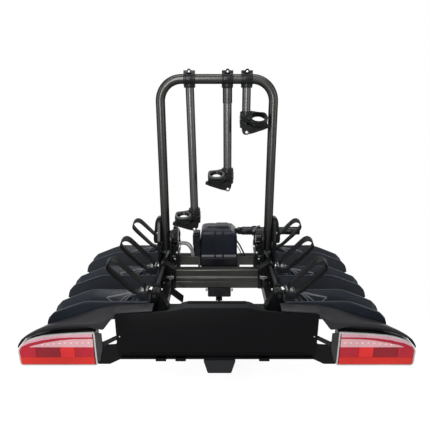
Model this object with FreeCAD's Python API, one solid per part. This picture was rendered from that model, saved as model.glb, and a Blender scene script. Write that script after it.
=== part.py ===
"""Towball-mounted carrier for three bicycles, with folding wings, upright and tilting platform.

Working frame: +X to the right seen from behind the car, +Y towards the car, +Z up, in mm.
The carrier's middle plane is x = 0, the upright stands at y = 0 and the lights' lower edge is
z = 0. Every saved part is moved so that the towball's centre is the origin.
"""
import FreeCAD, Part
import math
import os

V = FreeCAD.Vector
X, Y, Z = V(1, 0, 0), V(0, 1, 0), V(0, 0, 1)

# Clearances
RUN = 0.05          # radial running clearance of pins and pivots
GAP = 0.5           # side gap between parts that move past each other
SEAT = 0.3          # gap between a soft or curved part and its seat

# Towball and coupling
BALL_R = 25.0
BALL_Y = 175.0
BALL_Z = 100.0
SPINE_X = 8.0       # the coupling and main beam stand this far right of the middle plane
CUP_WALL = 9.0
CUP_HEIGHT = 20.0
COVER_W = 149.0
COVER_WALL = 4.0
COVER_Y0 = 72.0
COVER_Y1 = 232.0
COVER_SHOULDER_Z = 252.0
COVER_TOP_Z = 280.0
COVER_SKIRT_Z = 164.0
COVER_SLOPE = 20.0
GROOVE_X = 16.0
BLOCK_Z0 = 122.0
CORE_W = 92.0
JAW_TOP_Z = 152.0
JAW_PIN_Y = 146.0
JAW_PIN_Z = 144.0
JAW_PIN_R = 3.5

# Tilt hinge
TILT_Y = 91.5
TILT_Z = 150.0
TILT_PIN_R = 8.0
CHEEK_T = 8.0
CHEEK_R = 27.0

# Upright, which sets where the rails and wings stand
UPRIGHT_HALF = 193.5
RAIL_INSET = 31.5   # from the leg's axis in to the side rail's inner face
HINGE_INSET = 1.5   # from the leg's axis in to the wing's hinge pin

# Crossbars and side rails
BAR_FRONT_H = 38.0
BAR_FRONT_D = 36.0
BAR_MID_Y = -79.0
BAR_MID_D = 38.0
BAR_MID_Z0 = 115.0
BAR_MID_Z1 = 187.0
BAR_MID_LEDGE_Z = 161.0
BAR_MID_LEDGE = 6.0
BAR_WALL = 3.0
BAR_REAR_Y = -288.5
BAR_REAR_Z0 = 116.0
BAR_REAR_Z1 = 152.0
BAR_REAR_D = 34.0
RAIL_X0 = UPRIGHT_HALF - RAIL_INSET
BAR_END = RAIL_X0 - 12.0
RAIL_W = 26.0
RAIL_Z0 = 118.0
RAIL_Z1 = 156.0
RAIL_WALL = 3.0
RAIL_OVERHANG = 20.0
BEAM_W = 62.0
BEAM_Z0 = 85.0
BEAM_WALL = 4.0
BEAM_FRONT_Y = 22.0
BEAM_BACK_Y = -92.0
CAP_T = 7.0
CAP_RIM = 11.0

# Wing hinge
HINGE_X = UPRIGHT_HALF - HINGE_INSET
HINGE_Z = 206.0
HINGE_PIN_R = 6.0
KNUCKLE_R = 13.0
KNUCKLE_W = 34.0
LUG_W = 12.0
LUG_T = 12.0

# Upright
TUBE_R = 16.0
TUBE_WALL = 2.5
UPRIGHT_TOP_Z = 847.0
UPRIGHT_BEND_R = 73.5
UPRIGHT_FOOT_Z = 230.0
PIVOT_Z = 250.0
PIVOT_R = 6.0
PLATE_T = 8.0
BRACKET_HALF_D = 33.0
BRACKET_BASE_T = 7.0
EAR_TOP_Z = 362.0
EAR_T = 9.0
KNOB_R = 27.0
KNOB_T = 22.0
KNOB_Z = 284.5

# Arms
ARM_R = 14.5
ARM_WALL = 2.0
ARM_TOP_GAP = 7.0
ARM_TOP_X = (-92.5, 35.5, 100.8)
ARM_END_X = (-83.5, 38.0, 101.0)
HEAD_TOP_Z = (395.0, 545.0, 742.0)
HEAD_SIDE = (-1, -1, 1)
CLAMP_W = 38.0
CLAMP_WALL = 7.0
CLAMP_EAR_H = 12.0
CLAMP_SLIT = 5.0
CLAMP_DROP = 28.0
SLEEVE_R = 22.0
SLEEVE_H = 56.0
RING_R = 30.5
RING_BORE = 21.0
RING_H = 26.0
RING_OUT = (40.0, 40.0, 40.0)
RING_FRONT = 24.0
RING_TILT = 30.0
RING_DROP = 23.0
HEAD_BOLT_DROP = 68.0
HEAD_BOLT_R = 5.0
LATCH_W = 20.0
LATCH_Y = -SLEEVE_R - GAP

# Wheel trays
TRAY_ROWS = (86.0, -120.0, -298.0)
TRAY_W = 80.0
TRAY_FOOT_W = 66.0
TRAY_WALL = 4.0
TRAY_X0 = HINGE_X + 15.0
TRAY_X1 = TRAY_X0 + 320.0
TRAY_RIM_Z = 197.0
TRAY_FLOOR_Z = 150.0
DECK_X1 = TRAY_X0 + 41.0
TRAY_CREST_X = TRAY_X0 + 159.0
TRAY_FALL_X = TRAY_X0 + 263.0
TRAY_TAIL_X = TRAY_X0 + 290.0
TRAY_STEP_X = TRAY_X0 + 311.0
TRAY_BROW_X = TRAY_X0 + 196.0
TRAY_SHOULDER_X = TRAY_X0 + 292.0
TRAY_CREST_RISE = 2.0
TRAY_SHOULDER_DROP = 38.0
TRAY_DEEP = 18.0
TRAY_FALL = 37.0
TRAY_TAIL_DROP = 46.0
TRAY_END_DROP = 48.0

# Wing rail
WING_RAIL_W = 22.0
WING_RAIL_H = 34.0
WING_RAIL_X0 = HINGE_X + 12.0
WING_RAIL_WALL = 3.0
WING_RAIL_Y0 = -372.5
STAY_T = 5.0
STAY_KNEE = 46.0
WING_RAIL_Y1 = 132.0

# Wheel straps
STRAP_W = 34.0
STRAP_T = 3.0
STRAP_TIP_X = TRAY_X0 + 123.0
STRAP_TIP_Z = 288.0
STRAP_TOP_X = TRAY_X0 + 94.0
STRAP_TOP_Z = 322.0
STRAP_BEND_R = 12.0
BUCKLE_X0 = TRAY_X0 + 7.0
BUCKLE_X1 = BUCKLE_X0 + 32.0
BUCKLE_H = 20.0
BUCKLE_W = STRAP_W + 8.0
LEVER_ARM_T = 3.0

# Number board and lights
BOARD_Y = -378.5
BOARD_T = 5.0
BOARD_HALF = 301.7
BOARD_BOTTOM_HALF = 301.0
BOARD_Z0 = 29.0
BOARD_END_Z = 178.0
BOARD_SHOULDER_X = 150.0
BOARD_SHOULDER_Z = 188.0
BOARD_CREST_X = 93.0
BOARD_CREST_Z = 216.0
BOARD_LIP = 9.0
LIGHT_X0 = BOARD_HALF + 64.3
LIGHT_X1 = LIGHT_X0 + 238.0
LIGHT_TOP_Z = 117.0
LIGHT_TIP_Z = 57.0
LIGHT_BROW = ((480.0, 111.0), (540.0, 102.0), (580.0, 86.0))
LIGHT_RIM = 5.0
LIGHT_DEPTH = 40.0
LENS_T = 6.0
PLATE_LAMP_W = 20.0
COVER_SHEET_T = 4.0
COVER_WEB_T = 3.0
COVER_WEB_X0 = 342.0
COVER_CHAMFER = 3.0
COVER_BACK_Y = BOARD_Y + 37.5

# Stations of the wing cover: X, front edge Z, front edge height, back edge Y and Z
COVER_STATIONS = (
    (190.0, 192.0, 4.6, COVER_BACK_Y, 194.5), (290.0, 186.0, 5.0, COVER_BACK_Y, 189.5),
    (302.3, 182.5, 3.6, COVER_BACK_Y, 188.5), (308.0, 177.0, 12.0, COVER_BACK_Y, 187.5),
    (319.0, 167.0, 15.0, COVER_BACK_Y, 185.0), (337.0, 155.0, 27.0, COVER_BACK_Y, 181.0),
    (342.0, 153.0, 28.0, COVER_BACK_Y, 180.0), (364.0, 149.5, 21.0, COVER_BACK_Y, 174.5),
    (390.0, 148.5, 11.0, COVER_BACK_Y, 166.0), (417.0, 148.0, 11.0, COVER_BACK_Y, 157.0),
    (436.0, 147.0, 11.0, COVER_BACK_Y, 150.0), (465.0, 145.0, 11.0, COVER_BACK_Y, 141.0),
    (500.0, 139.0, 11.0, -350.0, 133.0), (532.0, 128.0, 10.0, -352.0, 119.0),
    (561.0, 113.0, 9.0, -355.0, 105.0), (580.0, 100.0, 8.0, -360.0, 94.0),
    (594.0, 85.0, 7.0, -366.0, 81.0), (602.5, 69.0, 5.0, -372.0, 68.0))

# Pedal
PEDAL_TOP_HALF = 49.0
PEDAL_FOOT_HALF = 36.0
PEDAL_Y = -384.0
PEDAL_T = 16.0
PEDAL_Z0 = -17.0
PEDAL_Z1 = 29.0
PEDAL_PIVOT_Y = -288.5
PEDAL_PIVOT_Z = 92.0
PEDAL_PIN_R = 5.0
ROD_R = 5.0
ROD_DROP = 26.0

# Clamp lever of the coupling
LEVER_Y = 172.0
LEVER_Z = 245.0
LEVER_R = 16.0
LEVER_X0 = 116.0
LEVER_X1 = 350.0
LEVER_GRIP = 52.0
LEVER_BRIDGE = 8.0
LEVER_STUB = 7.0
LEVER_PIN_R = 5.0

DATUM = V(SPINE_X, BALL_Y, BALL_Z)
HINGE_ROWS = (TILT_Y, BAR_MID_Y, BAR_REAR_Y)
LEAD_RADII = []


def box(x0, x1, y0, y1, z0, z1):
    return Part.makeBox(x1 - x0, y1 - y0, z1 - z0, V(x0, y0, z0))


def rod(start, end, radius):
    return Part.makeCylinder(radius, (end - start).Length, start, end - start)


def ring(start, end, outer, inner):
    return rod(start, end, outer).cut(rod(start, end, inner))


def arc_path(points, radii, closed=False):
    """A wire of straight runs through the points, joined by tangent arcs of the given radii."""
    count = len(points)
    edges = []
    last = points[0]
    first = None
    corners = range(count) if closed else range(1, count - 1)
    for i in corners:
        here = points[i]
        back = (points[i - 1] - here).normalize()
        ahead = (points[(i + 1) % count] - here).normalize()
        radius = radii[i] if isinstance(radii, (list, tuple)) else radii
        if radius <= 0:
            enter = leave = here
        else:
            half = back.getAngle(ahead) / 2
            reach = radius / math.tan(half)
            enter = here + back * reach
            leave = here + ahead * reach
            bisector = (back + ahead).normalize()
            middle = here + bisector * (radius / math.sin(half) - radius)
        if first is None and closed:
            first = enter
        elif (enter - last).Length > 1e-6:
            edges.append(Part.LineSegment(last, enter).toShape())
        if radius > 0:
            edges.append(Part.Arc(enter, middle, leave).toShape())
        last = leave
    end = first if closed else points[-1]
    if (end - last).Length > 1e-6:
        edges.append(Part.LineSegment(last, end).toShape())
    return Part.Wire(edges)


def plate(corners, plane, start, end, radii=0):
    """A flat plate: an outline in the named plane, extruded from start to end."""
    place = {"xz": lambda a, b: V(a, start, b), "yz": lambda a, b: V(start, a, b),
             "xy": lambda a, b: V(a, b, start)}[plane]
    way = {"xz": Y, "yz": X, "xy": Z}[plane]
    wire = arc_path([place(a, b) for a, b in corners], radii, closed=True)
    return Part.Face(wire).extrude(way * (end - start))


def tube_along(points, radii, outer, inner=0):
    """A round tube along straight runs and tangent arcs."""
    path = arc_path(points, radii)
    normal = points[1] - points[0]

    def swept(radius):
        circle = Part.Wire([Part.makeCircle(radius, points[0], normal)])
        return path.makePipeShell([circle], True, False)

    solid = swept(outer)
    if inner:
        solid = solid.cut(swept(inner))
    return solid


def offset_points(points, side):
    """Points of an open path in the XZ plane moved sideways, mitred at the corners."""
    ways = [(b - a).normalize() for a, b in zip(points, points[1:])]
    sides = [V(-way.z, 0, way.x) * side for way in ways]
    moved = [points[0] + sides[0]]
    for i in range(1, len(points) - 1):
        mitre = (sides[i - 1] + sides[i]).normalize()
        moved.append(points[i] + mitre * (abs(side) / math.cos(sides[i].getAngle(mitre))))
    moved.append(points[-1] + sides[-1])
    return moved


def band(points, radius, thickness, width, y_mid):
    """A flat strap on edge along a path in the XZ plane."""
    half = thickness / 2
    left, right = offset_points(points, half), offset_points(points, -half)
    turns = []
    for i in range(1, len(points) - 1):
        before, after = points[i] - points[i - 1], points[i + 1] - points[i]
        turns.append(1 if before.z * after.x - before.x * after.z < 0 else -1)
    left_radii = [0] + [radius - half * turn for turn in turns] + [0]
    right_radii = [0] + [radius + half * turn for turn in turns] + [0]
    outline = left + right[::-1]
    wire = arc_path(outline, left_radii + right_radii[::-1], closed=True)
    face = Part.Face(wire)
    face.translate(Y * (y_mid - width / 2))
    return face.extrude(Y * width)


def hollow_bar(x0, x1, y0, y1, z0, z1, wall, along):
    """A rectangular tube along X or Y."""
    outer = box(x0, x1, y0, y1, z0, z1)
    if along == "x":
        bore = box(x0, x1, y0 + wall, y1 - wall, z0 + wall, z1 - wall)
    else:
        bore = box(x0 + wall, x1 - wall, y0, y1, z0 + wall, z1 - wall)
    return outer.cut(bore)


def mirrored(shape):
    return shape.mirror(V(0, 0, 0), X)


def fuse(shapes):
    solid = shapes[0].fuse(shapes[1:])
    return solid.removeSplitter()


def group(shapes):
    """Separate solids that share one saved part."""
    return Part.makeCompound([solid for shape in shapes for solid in shape.Solids])


# Coupling

def cheek_faces():
    """Inner and outer X of the tilt hinge's two cheeks, right side, from the spine."""
    inner = COVER_W / 2 + GAP
    return inner, inner + CHEEK_T


def ball_room():
    """The space of the towball: a straight socket with a round top."""
    ball = V(SPINE_X, BALL_Y, BALL_Z)
    socket = rod(ball - Z * CUP_HEIGHT, ball + Z * (CUP_HEIGHT / 2), BALL_R)
    dome = Part.makeSphere(BALL_R, ball + Z * (CUP_HEIGHT / 2))
    return [socket, dome]


def jaw_room():
    """The pocket in which the moving jaw swings."""
    front, back = jaw_span()
    half = BALL_R + 2
    return box(SPINE_X - half, SPINE_X + half, front, back, BALL_Z - CUP_HEIGHT, JAW_TOP_Z + 2)


def jaw_pin(reach, radius):
    """The cross pin above the ball on which the jaw swings."""
    return rod(V(SPINE_X - reach, JAW_PIN_Y, JAW_PIN_Z), V(SPINE_X + reach, JAW_PIN_Y, JAW_PIN_Z),
               radius)


def ball_cup(grow=0):
    """The round cup over the towball, open at the rear for the jaw."""
    ball = V(SPINE_X, BALL_Y, BALL_Z)
    top = BALL_Z + CUP_HEIGHT / 2 + BALL_R + CUP_WALL
    cup = rod(ball - Z * (CUP_HEIGHT / 2), V(SPINE_X, BALL_Y, top), BALL_R + CUP_WALL + grow)
    if grow:
        return cup
    return cup.cut(ball_room() + [jaw_room()])


def coupling_housing():
    """Cast coupling: a hinge block under the cover and a core inside it, round the cup."""
    half = COVER_W / 2
    seat = COVER_SKIRT_Z
    block = plate([(COVER_Y0, BLOCK_Z0 + 8), (COVER_Y0 + 14, BLOCK_Z0), (COVER_Y1 - 14, BLOCK_Z0),
                   (COVER_Y1, BLOCK_Z0 + 14), (COVER_Y1, seat), (COVER_Y0, seat)],
                  "yz", SPINE_X - half, SPINE_X + half, (8, 10, 10, 8, 0, 0))
    core = box(SPINE_X - CORE_W / 2, SPINE_X + CORE_W / 2, COVER_Y0 + 24, LEVER_Y + 6, seat,
               LEVER_Z + 10)
    pin = rod(V(SPINE_X - half - 1, TILT_Y, TILT_Z), V(SPINE_X + half + 1, TILT_Y, TILT_Z),
              TILT_PIN_R + RUN)
    pivot_x = lever_pivot_x()
    stub = fuse([box(SPINE_X + CORE_W / 2 - 12, pivot_x, LEVER_Y - LEVER_STUB, LEVER_Y + LEVER_STUB,
                     LEVER_Z - 10, LEVER_Z + 10),
                 rod(V(pivot_x, LEVER_Y - LEVER_STUB, LEVER_Z),
                     V(pivot_x, LEVER_Y + LEVER_STUB, LEVER_Z), 10)])
    lever_way = rod(V(pivot_x, LEVER_Y - LEVER_STUB - 1, LEVER_Z),
                    V(pivot_x, LEVER_Y + LEVER_STUB + 1, LEVER_Z), LEVER_PIN_R + RUN)
    solid = fuse([block, core, stub]).cut([ball_cup(RUN), pin, jaw_room(), lever_way])
    return fuse([solid, jaw_pin(BALL_R + 8, JAW_PIN_R)])


def lever_pivot_x():
    """The clamp lever turns on a pin just outside the cover."""
    return SPINE_X + COVER_W / 2 + 12


def jaw_span():
    """Rear and front Y of the pocket in which the moving jaw swings."""
    front = BALL_Y - BALL_R - CUP_WALL - 8
    return front, BALL_Y - BALL_R * 0.55


def clamp_jaw():
    """The moving half of the ball clamp, which swings on a cross pin above the ball."""
    half = BALL_R + 2 - GAP
    front, back = jaw_span()
    block = box(SPINE_X - half, SPINE_X + half, front + 5, back - 1, BALL_Z - CUP_HEIGHT / 2,
                JAW_TOP_Z)
    return block.cut(ball_room() + [jaw_pin(half + 1, JAW_PIN_R + RUN)])


def cover_side(inset):
    """The cover's outline seen from the side, in YZ, moved in by a wall."""
    low = COVER_SKIRT_Z if inset == 0 else COVER_SKIRT_Z - 10
    return [(COVER_Y0 + inset, low), (COVER_Y1 - inset, low),
            (COVER_Y1 - inset, COVER_SHOULDER_Z - 40), (COVER_Y1 - 70, COVER_TOP_Z - inset),
            (COVER_Y0 + 26, COVER_TOP_Z - inset), (COVER_Y0 + inset, COVER_SHOULDER_Z)]


def cover_front(inset):
    """The cover's outline seen from behind the car, in XZ, moved in by a wall."""
    half = COVER_W / 2 - inset
    low = COVER_SKIRT_Z if inset == 0 else COVER_SKIRT_Z - 10
    crest = half - COVER_SLOPE
    return [(SPINE_X - half, low), (SPINE_X + half, low),
            (SPINE_X + half, COVER_SHOULDER_Z - 18), (SPINE_X + crest, COVER_TOP_Z - inset),
            (SPINE_X - crest, COVER_TOP_Z - inset), (SPINE_X - half, COVER_SHOULDER_Z - 18)]


def coupling_cover():
    """A ribbed shell over the coupling, with two deep grooves and a hand recess on top."""
    half = COVER_W / 2

    def block(inset):
        side = plate(cover_side(inset), "yz", SPINE_X - half, SPINE_X + half,
                     (0, 0, 14, 20, 14, 12))
        front = plate(cover_front(inset), "xz", COVER_Y0, COVER_Y1, (0, 0, 16, 6, 6, 16))
        return side.common(front)

    shell = block(0).cut(block(COVER_WALL))
    cuts = []
    for x in (SPINE_X - GROOVE_X, SPINE_X + GROOVE_X):
        cuts.append(box(x - 2.5, x + 2.5, COVER_Y0 - 1, COVER_Y0 + 2.4, COVER_SKIRT_Z + 6,
                        COVER_TOP_Z + 1))
    cuts.append(box(SPINE_X - 34, SPINE_X + 34, COVER_Y0 + 46, COVER_Y0 + 78,
                    COVER_TOP_Z - 2.5, COVER_TOP_Z + 1))
    cuts.append(box(SPINE_X + CORE_W / 2, SPINE_X + half + 1, LEVER_Y - LEVER_STUB - 1,
                    LEVER_Y + LEVER_STUB + 1, LEVER_Z - 11, LEVER_Z + 11))
    return shell.cut(cuts)


def coupling_lever():
    """The clamp lever: a tube with a pivot boss, a collar and an end grip."""
    start, end = V(LEVER_X0, LEVER_Y, LEVER_Z), V(LEVER_X1, LEVER_Y, LEVER_Z)
    bore = LEVER_R - TUBE_WALL
    tube = ring(start, end - X * LEVER_GRIP, LEVER_R, bore)
    grip = fuse([rod(end - X * LEVER_GRIP, end, LEVER_R + 1),
                 rod(end - X * (LEVER_GRIP + 40), end - X * LEVER_GRIP, bore)])
    collar = ring(V(150, LEVER_Y, LEVER_Z), V(168, LEVER_Y, LEVER_Z), LEVER_R + 5, LEVER_R)
    pivot_x = lever_pivot_x()
    pieces = [rod(start - X * LEVER_BRIDGE, start, LEVER_R), rod(start, start + X * 20, bore),
              rod(V(pivot_x, LEVER_Y - LEVER_STUB - GAP, LEVER_Z),
                  V(pivot_x, LEVER_Y + LEVER_STUB + GAP, LEVER_Z), LEVER_PIN_R)]
    for side in (-1, 1):
        y0, y1 = sorted((LEVER_Y + side * (LEVER_STUB + GAP), LEVER_Y + side * (LEVER_R - 1)))
        cheek = plate([(pivot_x - 11, LEVER_Z - 11), (LEVER_X0 - 2, LEVER_Z - 11),
                       (LEVER_X0 - 2, LEVER_Z + 11), (pivot_x - 11, LEVER_Z + 11)], "xz", y0, y1,
                      (10, 0, 0, 10))
        pieces.append(cheek)
    boss = fuse(pieces)
    return group([tube, grip, collar, boss])


# Platform

def hinge_yoke():
    """Two cheeks on the tilt pin, joined by a foot that carries the main beam."""
    inner, outer = cheek_faces()
    pin = V(0, TILT_Y, TILT_Z)
    outline = [(BEAM_FRONT_Y, BEAM_Z0), (BEAM_FRONT_Y + 14, BEAM_Z0),
               (TILT_Y + CHEEK_R * 0.4, TILT_Z - CHEEK_R), (TILT_Y + CHEEK_R, TILT_Z),
               (TILT_Y, TILT_Z + CHEEK_R), (TILT_Y - CHEEK_R, TILT_Z + CHEEK_R),
               (BEAM_FRONT_Y, BEAM_Z0 + 36)]
    pieces = []
    for x0, x1 in ((SPINE_X + inner, SPINE_X + outer), (SPINE_X - outer, SPINE_X - inner)):
        cheek = plate(outline, "yz", x0, x1, (0, 6, 14, 20, 20, 10, 8))
        hole = rod(V(x0 - 1, pin.y, pin.z), V(x1 + 1, pin.y, pin.z), TILT_PIN_R)
        pieces.append(cheek.cut(hole))
    pieces.append(box(SPINE_X - outer, SPINE_X + outer, BEAM_FRONT_Y, BEAM_FRONT_Y + CHEEK_T,
                      BEAM_Z0, BEAM_Z0 + 36))
    return fuse(pieces)


def crossbar_front():
    """Two halves of the front crossbar, one on each side of the coupling."""
    outer = cheek_faces()[1]
    halves = []
    for x0, x1 in ((SPINE_X + outer, BAR_END), (-BAR_END, SPINE_X - outer)):
        bar = hollow_bar(x0, x1, TILT_Y - BAR_FRONT_D / 2, TILT_Y + BAR_FRONT_D / 2,
                         TILT_Z - BAR_FRONT_H / 2, TILT_Z + BAR_FRONT_H / 2, BAR_WALL, "x")
        halves.append(bar)
    return group(halves)


def crossbar_middle():
    """A tall hollow bar with a ledge and a groove along its rear face."""
    front, back = BAR_MID_Y - BAR_MID_D / 2, BAR_MID_Y + BAR_MID_D / 2
    ledge = BAR_MID_LEDGE_Z
    outline = [(front, BAR_MID_Z0), (back, BAR_MID_Z0), (back, BAR_MID_Z1),
               (front + BAR_MID_LEDGE, BAR_MID_Z1), (front + BAR_MID_LEDGE, ledge),
               (front, ledge - 4)]
    radii = (4, 4, 6, 5, 3, 3)
    bar = plate(outline, "yz", -BAR_END, BAR_END, radii)
    groove = box(-BAR_END, BAR_END, front - 1, front + 2.5, ledge - 20, ledge - 16)
    wall = BAR_WALL + 1
    lower = box(-BAR_END, BAR_END, front + wall, back - wall, BAR_MID_Z0 + wall, ledge - 6)
    upper = box(-BAR_END, BAR_END, front + BAR_MID_LEDGE + wall, back - wall, ledge - 2,
                BAR_MID_Z1 - wall)
    return bar.cut([groove, lower, upper])


def crossbar_rear():
    return hollow_bar(-BAR_END, BAR_END, BAR_REAR_Y - BAR_REAR_D / 2, BAR_REAR_Y + BAR_REAR_D / 2,
                      BAR_REAR_Z0, BAR_REAR_Z1, BAR_WALL, "x")


def main_beam():
    return hollow_bar(SPINE_X - BEAM_W / 2, SPINE_X + BEAM_W / 2, BEAM_BACK_Y, BEAM_FRONT_Y,
                      BEAM_Z0, BAR_MID_Z0, BEAM_WALL, "y")


def beam_cap():
    """The black end cap of the main beam, with a flange that tapers to its foot."""
    half = BEAM_W / 2
    top = BAR_MID_Z0
    head = plate([(SPINE_X - half + 4, BEAM_Z0 - 3), (SPINE_X + half - 4, BEAM_Z0 - 3),
                  (SPINE_X + half + CAP_RIM, top - 6), (SPINE_X + half + CAP_RIM, top),
                  (SPINE_X - half - CAP_RIM, top), (SPINE_X - half - CAP_RIM, top - 6)],
                 "xz", BEAM_BACK_Y - CAP_T, BEAM_BACK_Y)
    inset = BEAM_WALL + SEAT
    plug = box(SPINE_X - half + inset, SPINE_X + half - inset, BEAM_BACK_Y, BEAM_BACK_Y + 18,
               BEAM_Z0 + inset, top - inset)
    return fuse([head, plug])


def side_rails():
    y0 = BAR_REAR_Y - KNUCKLE_W / 2 - RAIL_OVERHANG
    y1 = TILT_Y + KNUCKLE_W / 2
    rail = hollow_bar(RAIL_X0, RAIL_X0 + RAIL_W, y0, y1, RAIL_Z0, RAIL_Z1, RAIL_WALL, "y")
    return group([rail, mirrored(rail)])


def hinge_castings():
    """Six black castings: each caps a crossbar end, clips round the rail and holds the hinge."""
    castings = []
    tops = (TILT_Z + BAR_FRONT_H / 2, BAR_MID_Z1, BAR_REAR_Z1)
    for row, top in zip(HINGE_ROWS, tops):
        y0, y1 = row - KNUCKLE_W / 2, row + KNUCKLE_W / 2
        low = RAIL_Z0 - 5
        inner = BAR_END
        outline = [(inner, low), (RAIL_X0 + RAIL_W + 5, low), (RAIL_X0 + RAIL_W + 5, RAIL_Z1 + 6),
                   (HINGE_X + KNUCKLE_R, HINGE_Z - KNUCKLE_R), (HINGE_X + KNUCKLE_R, HINGE_Z + 2),
                   (HINGE_X, HINGE_Z + KNUCKLE_R), (HINGE_X - KNUCKLE_R, HINGE_Z + 2),
                   (inner, top)]
        body = plate(outline, "xz", y0, y1, (4, 4, 3, 3, 8, 8, 6, 6))
        rail_way = box(RAIL_X0, RAIL_X0 + RAIL_W, y0, y1, RAIL_Z0, RAIL_Z1)
        pin_way = rod(V(HINGE_X, y0 - 1, HINGE_Z), V(HINGE_X, y1 + 1, HINGE_Z), HINGE_PIN_R)
        castings.append(body.cut([rail_way, pin_way]))
    return group(castings + [mirrored(casting) for casting in castings])


def bracket_faces():
    """Inner and outer X of the upright bracket's inner plate and of its ear."""
    leg_in, leg_out = UPRIGHT_HALF - TUBE_R, UPRIGHT_HALF + TUBE_R
    plate_out = leg_in - 2 * GAP
    ear_in = leg_out + 5 * GAP
    return plate_out - PLATE_T, plate_out, ear_in, ear_in + EAR_T


def upright_brackets():
    """A U bracket at each leg: a round inner plate, a base on the rail and a pointed ear."""
    x0, x1, x2, x3 = bracket_faces()
    half = BRACKET_HALF_D
    base_z = RAIL_Z1
    floor = base_z + BRACKET_BASE_T
    inner = plate([(-half, base_z), (half, base_z), (half, KNOB_Z), (0, KNOB_Z + half),
                   (-half, KNOB_Z)], "yz", x0, x1, (0, 0, 26, 26, 26))
    ear = plate([(-half, base_z), (half, base_z), (half, PIVOT_Z + 10), (9, EAR_TOP_Z - 16),
                 (0, EAR_TOP_Z), (-14, EAR_TOP_Z - 22), (-half, PIVOT_Z + 24)],
                "yz", x2, x3, (0, 0, 14, 4, 4, 6, 12))
    base = box(x0, x3, -half, half, base_z, floor)
    solid = fuse([inner, ear, base])
    solid = solid.cut([rod(V(x0 - 1, 0, PIVOT_Z), V(x3 + 1, 0, PIVOT_Z), PIVOT_R),
                       rod(V(x0 - 1, 0, KNOB_Z), V(x1 + 1, 0, KNOB_Z), PIVOT_R + RUN)])
    return group([solid, mirrored(solid)])


def lock_knob():
    """A round grip knob on a short spindle through the inner plate; its axis is X."""
    x0, x1 = bracket_faces()[:2]
    core = rod(V(x0 - GAP - KNOB_T, 0, KNOB_Z), V(x0 - GAP, 0, KNOB_Z), KNOB_R)
    flutes = []
    for step in range(8):
        angle = math.radians(45 * step + 22.5)
        centre = V(0, math.cos(angle) * (KNOB_R + 4), KNOB_Z + math.sin(angle) * (KNOB_R + 4))
        flutes.append(rod(centre + X * (x0 - GAP - KNOB_T), centre + X * (x0 - GAP - 6), 7.5))
    spindle = rod(V(x0 - GAP, 0, KNOB_Z), V(x1, 0, KNOB_Z), PIVOT_R)
    return fuse([core.cut(flutes), spindle])


def platform_fasteners():
    """Pins and bolts of the platform: tilt pin, hinge pins, pivot bolts, T bolts, pedal pin."""
    x0, x1, x2, x3 = bracket_faces()
    outer = cheek_faces()[1]
    solids = [rod(V(SPINE_X - outer, TILT_Y, TILT_Z), V(SPINE_X + outer, TILT_Y, TILT_Z),
                  TILT_PIN_R)]
    rows = sorted(HINGE_ROWS)
    reach = KNUCKLE_W / 2 + GAP + LUG_W + 3
    hinge_pin = rod(V(HINGE_X, rows[0] - reach, HINGE_Z), V(HINGE_X, rows[-1] + reach, HINGE_Z),
                    HINGE_PIN_R)
    pivot = fuse([rod(V(x0, 0, PIVOT_Z), V(x3, 0, PIVOT_Z), PIVOT_R),
                  rod(V(x0 - 5, 0, PIVOT_Z), V(x0, 0, PIVOT_Z), PIVOT_R + 1),
                  rod(V(x3, 0, PIVOT_Z), V(x3 + 6, 0, PIVOT_Z), PIVOT_R + 4)])
    low = fuse([rod(V(x0 - 7, -20, PIVOT_Z - 40), V(x0, -20, PIVOT_Z - 40), 7),
                rod(V(x0 - 12, -20, PIVOT_Z - 40), V(x0 - 7, -20, PIVOT_Z - 40), 4)])
    face = BAR_MID_Y - KNUCKLE_W / 2
    centre_z = RAIL_Z1 + 12
    tee = fuse([rod(V(RAIL_X0 + 6, face - 12, centre_z), V(RAIL_X0 + 6, face, centre_z), 5),
                box(RAIL_X0 - 7, RAIL_X0 + 19, face - 18, face - 12, centre_z - 5, centre_z + 5),
                box(RAIL_X0 + 1, RAIL_X0 + 11, face - 18, face - 12, centre_z - 12,
                    centre_z + 5)])
    for piece in (hinge_pin, pivot, low, tee):
        solids += [piece, mirrored(piece)]
    half = PEDAL_TOP_HALF - 13
    solids.append(rod(V(SPINE_X - half, PEDAL_PIVOT_Y, PEDAL_PIVOT_Z),
                      V(SPINE_X + half, PEDAL_PIVOT_Y, PEDAL_PIVOT_Z), PEDAL_PIN_R))
    return group(solids)


def pedal_hanger_faces():
    inner = PEDAL_FOOT_HALF - 14
    return inner, inner + 5


def rod_guide():
    """A saddle under the main beam in which the release rod slides."""
    z = PEDAL_PIVOT_Z - ROD_DROP
    guide = box(SPINE_X - 12, SPINE_X + 12, BEAM_BACK_Y + 6, BEAM_BACK_Y + 26, z - 9, BEAM_Z0)
    way = rod(V(SPINE_X, BEAM_BACK_Y, z), V(SPINE_X, BEAM_BACK_Y + 30, z), ROD_R + RUN)
    return guide.cut(way)


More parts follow.
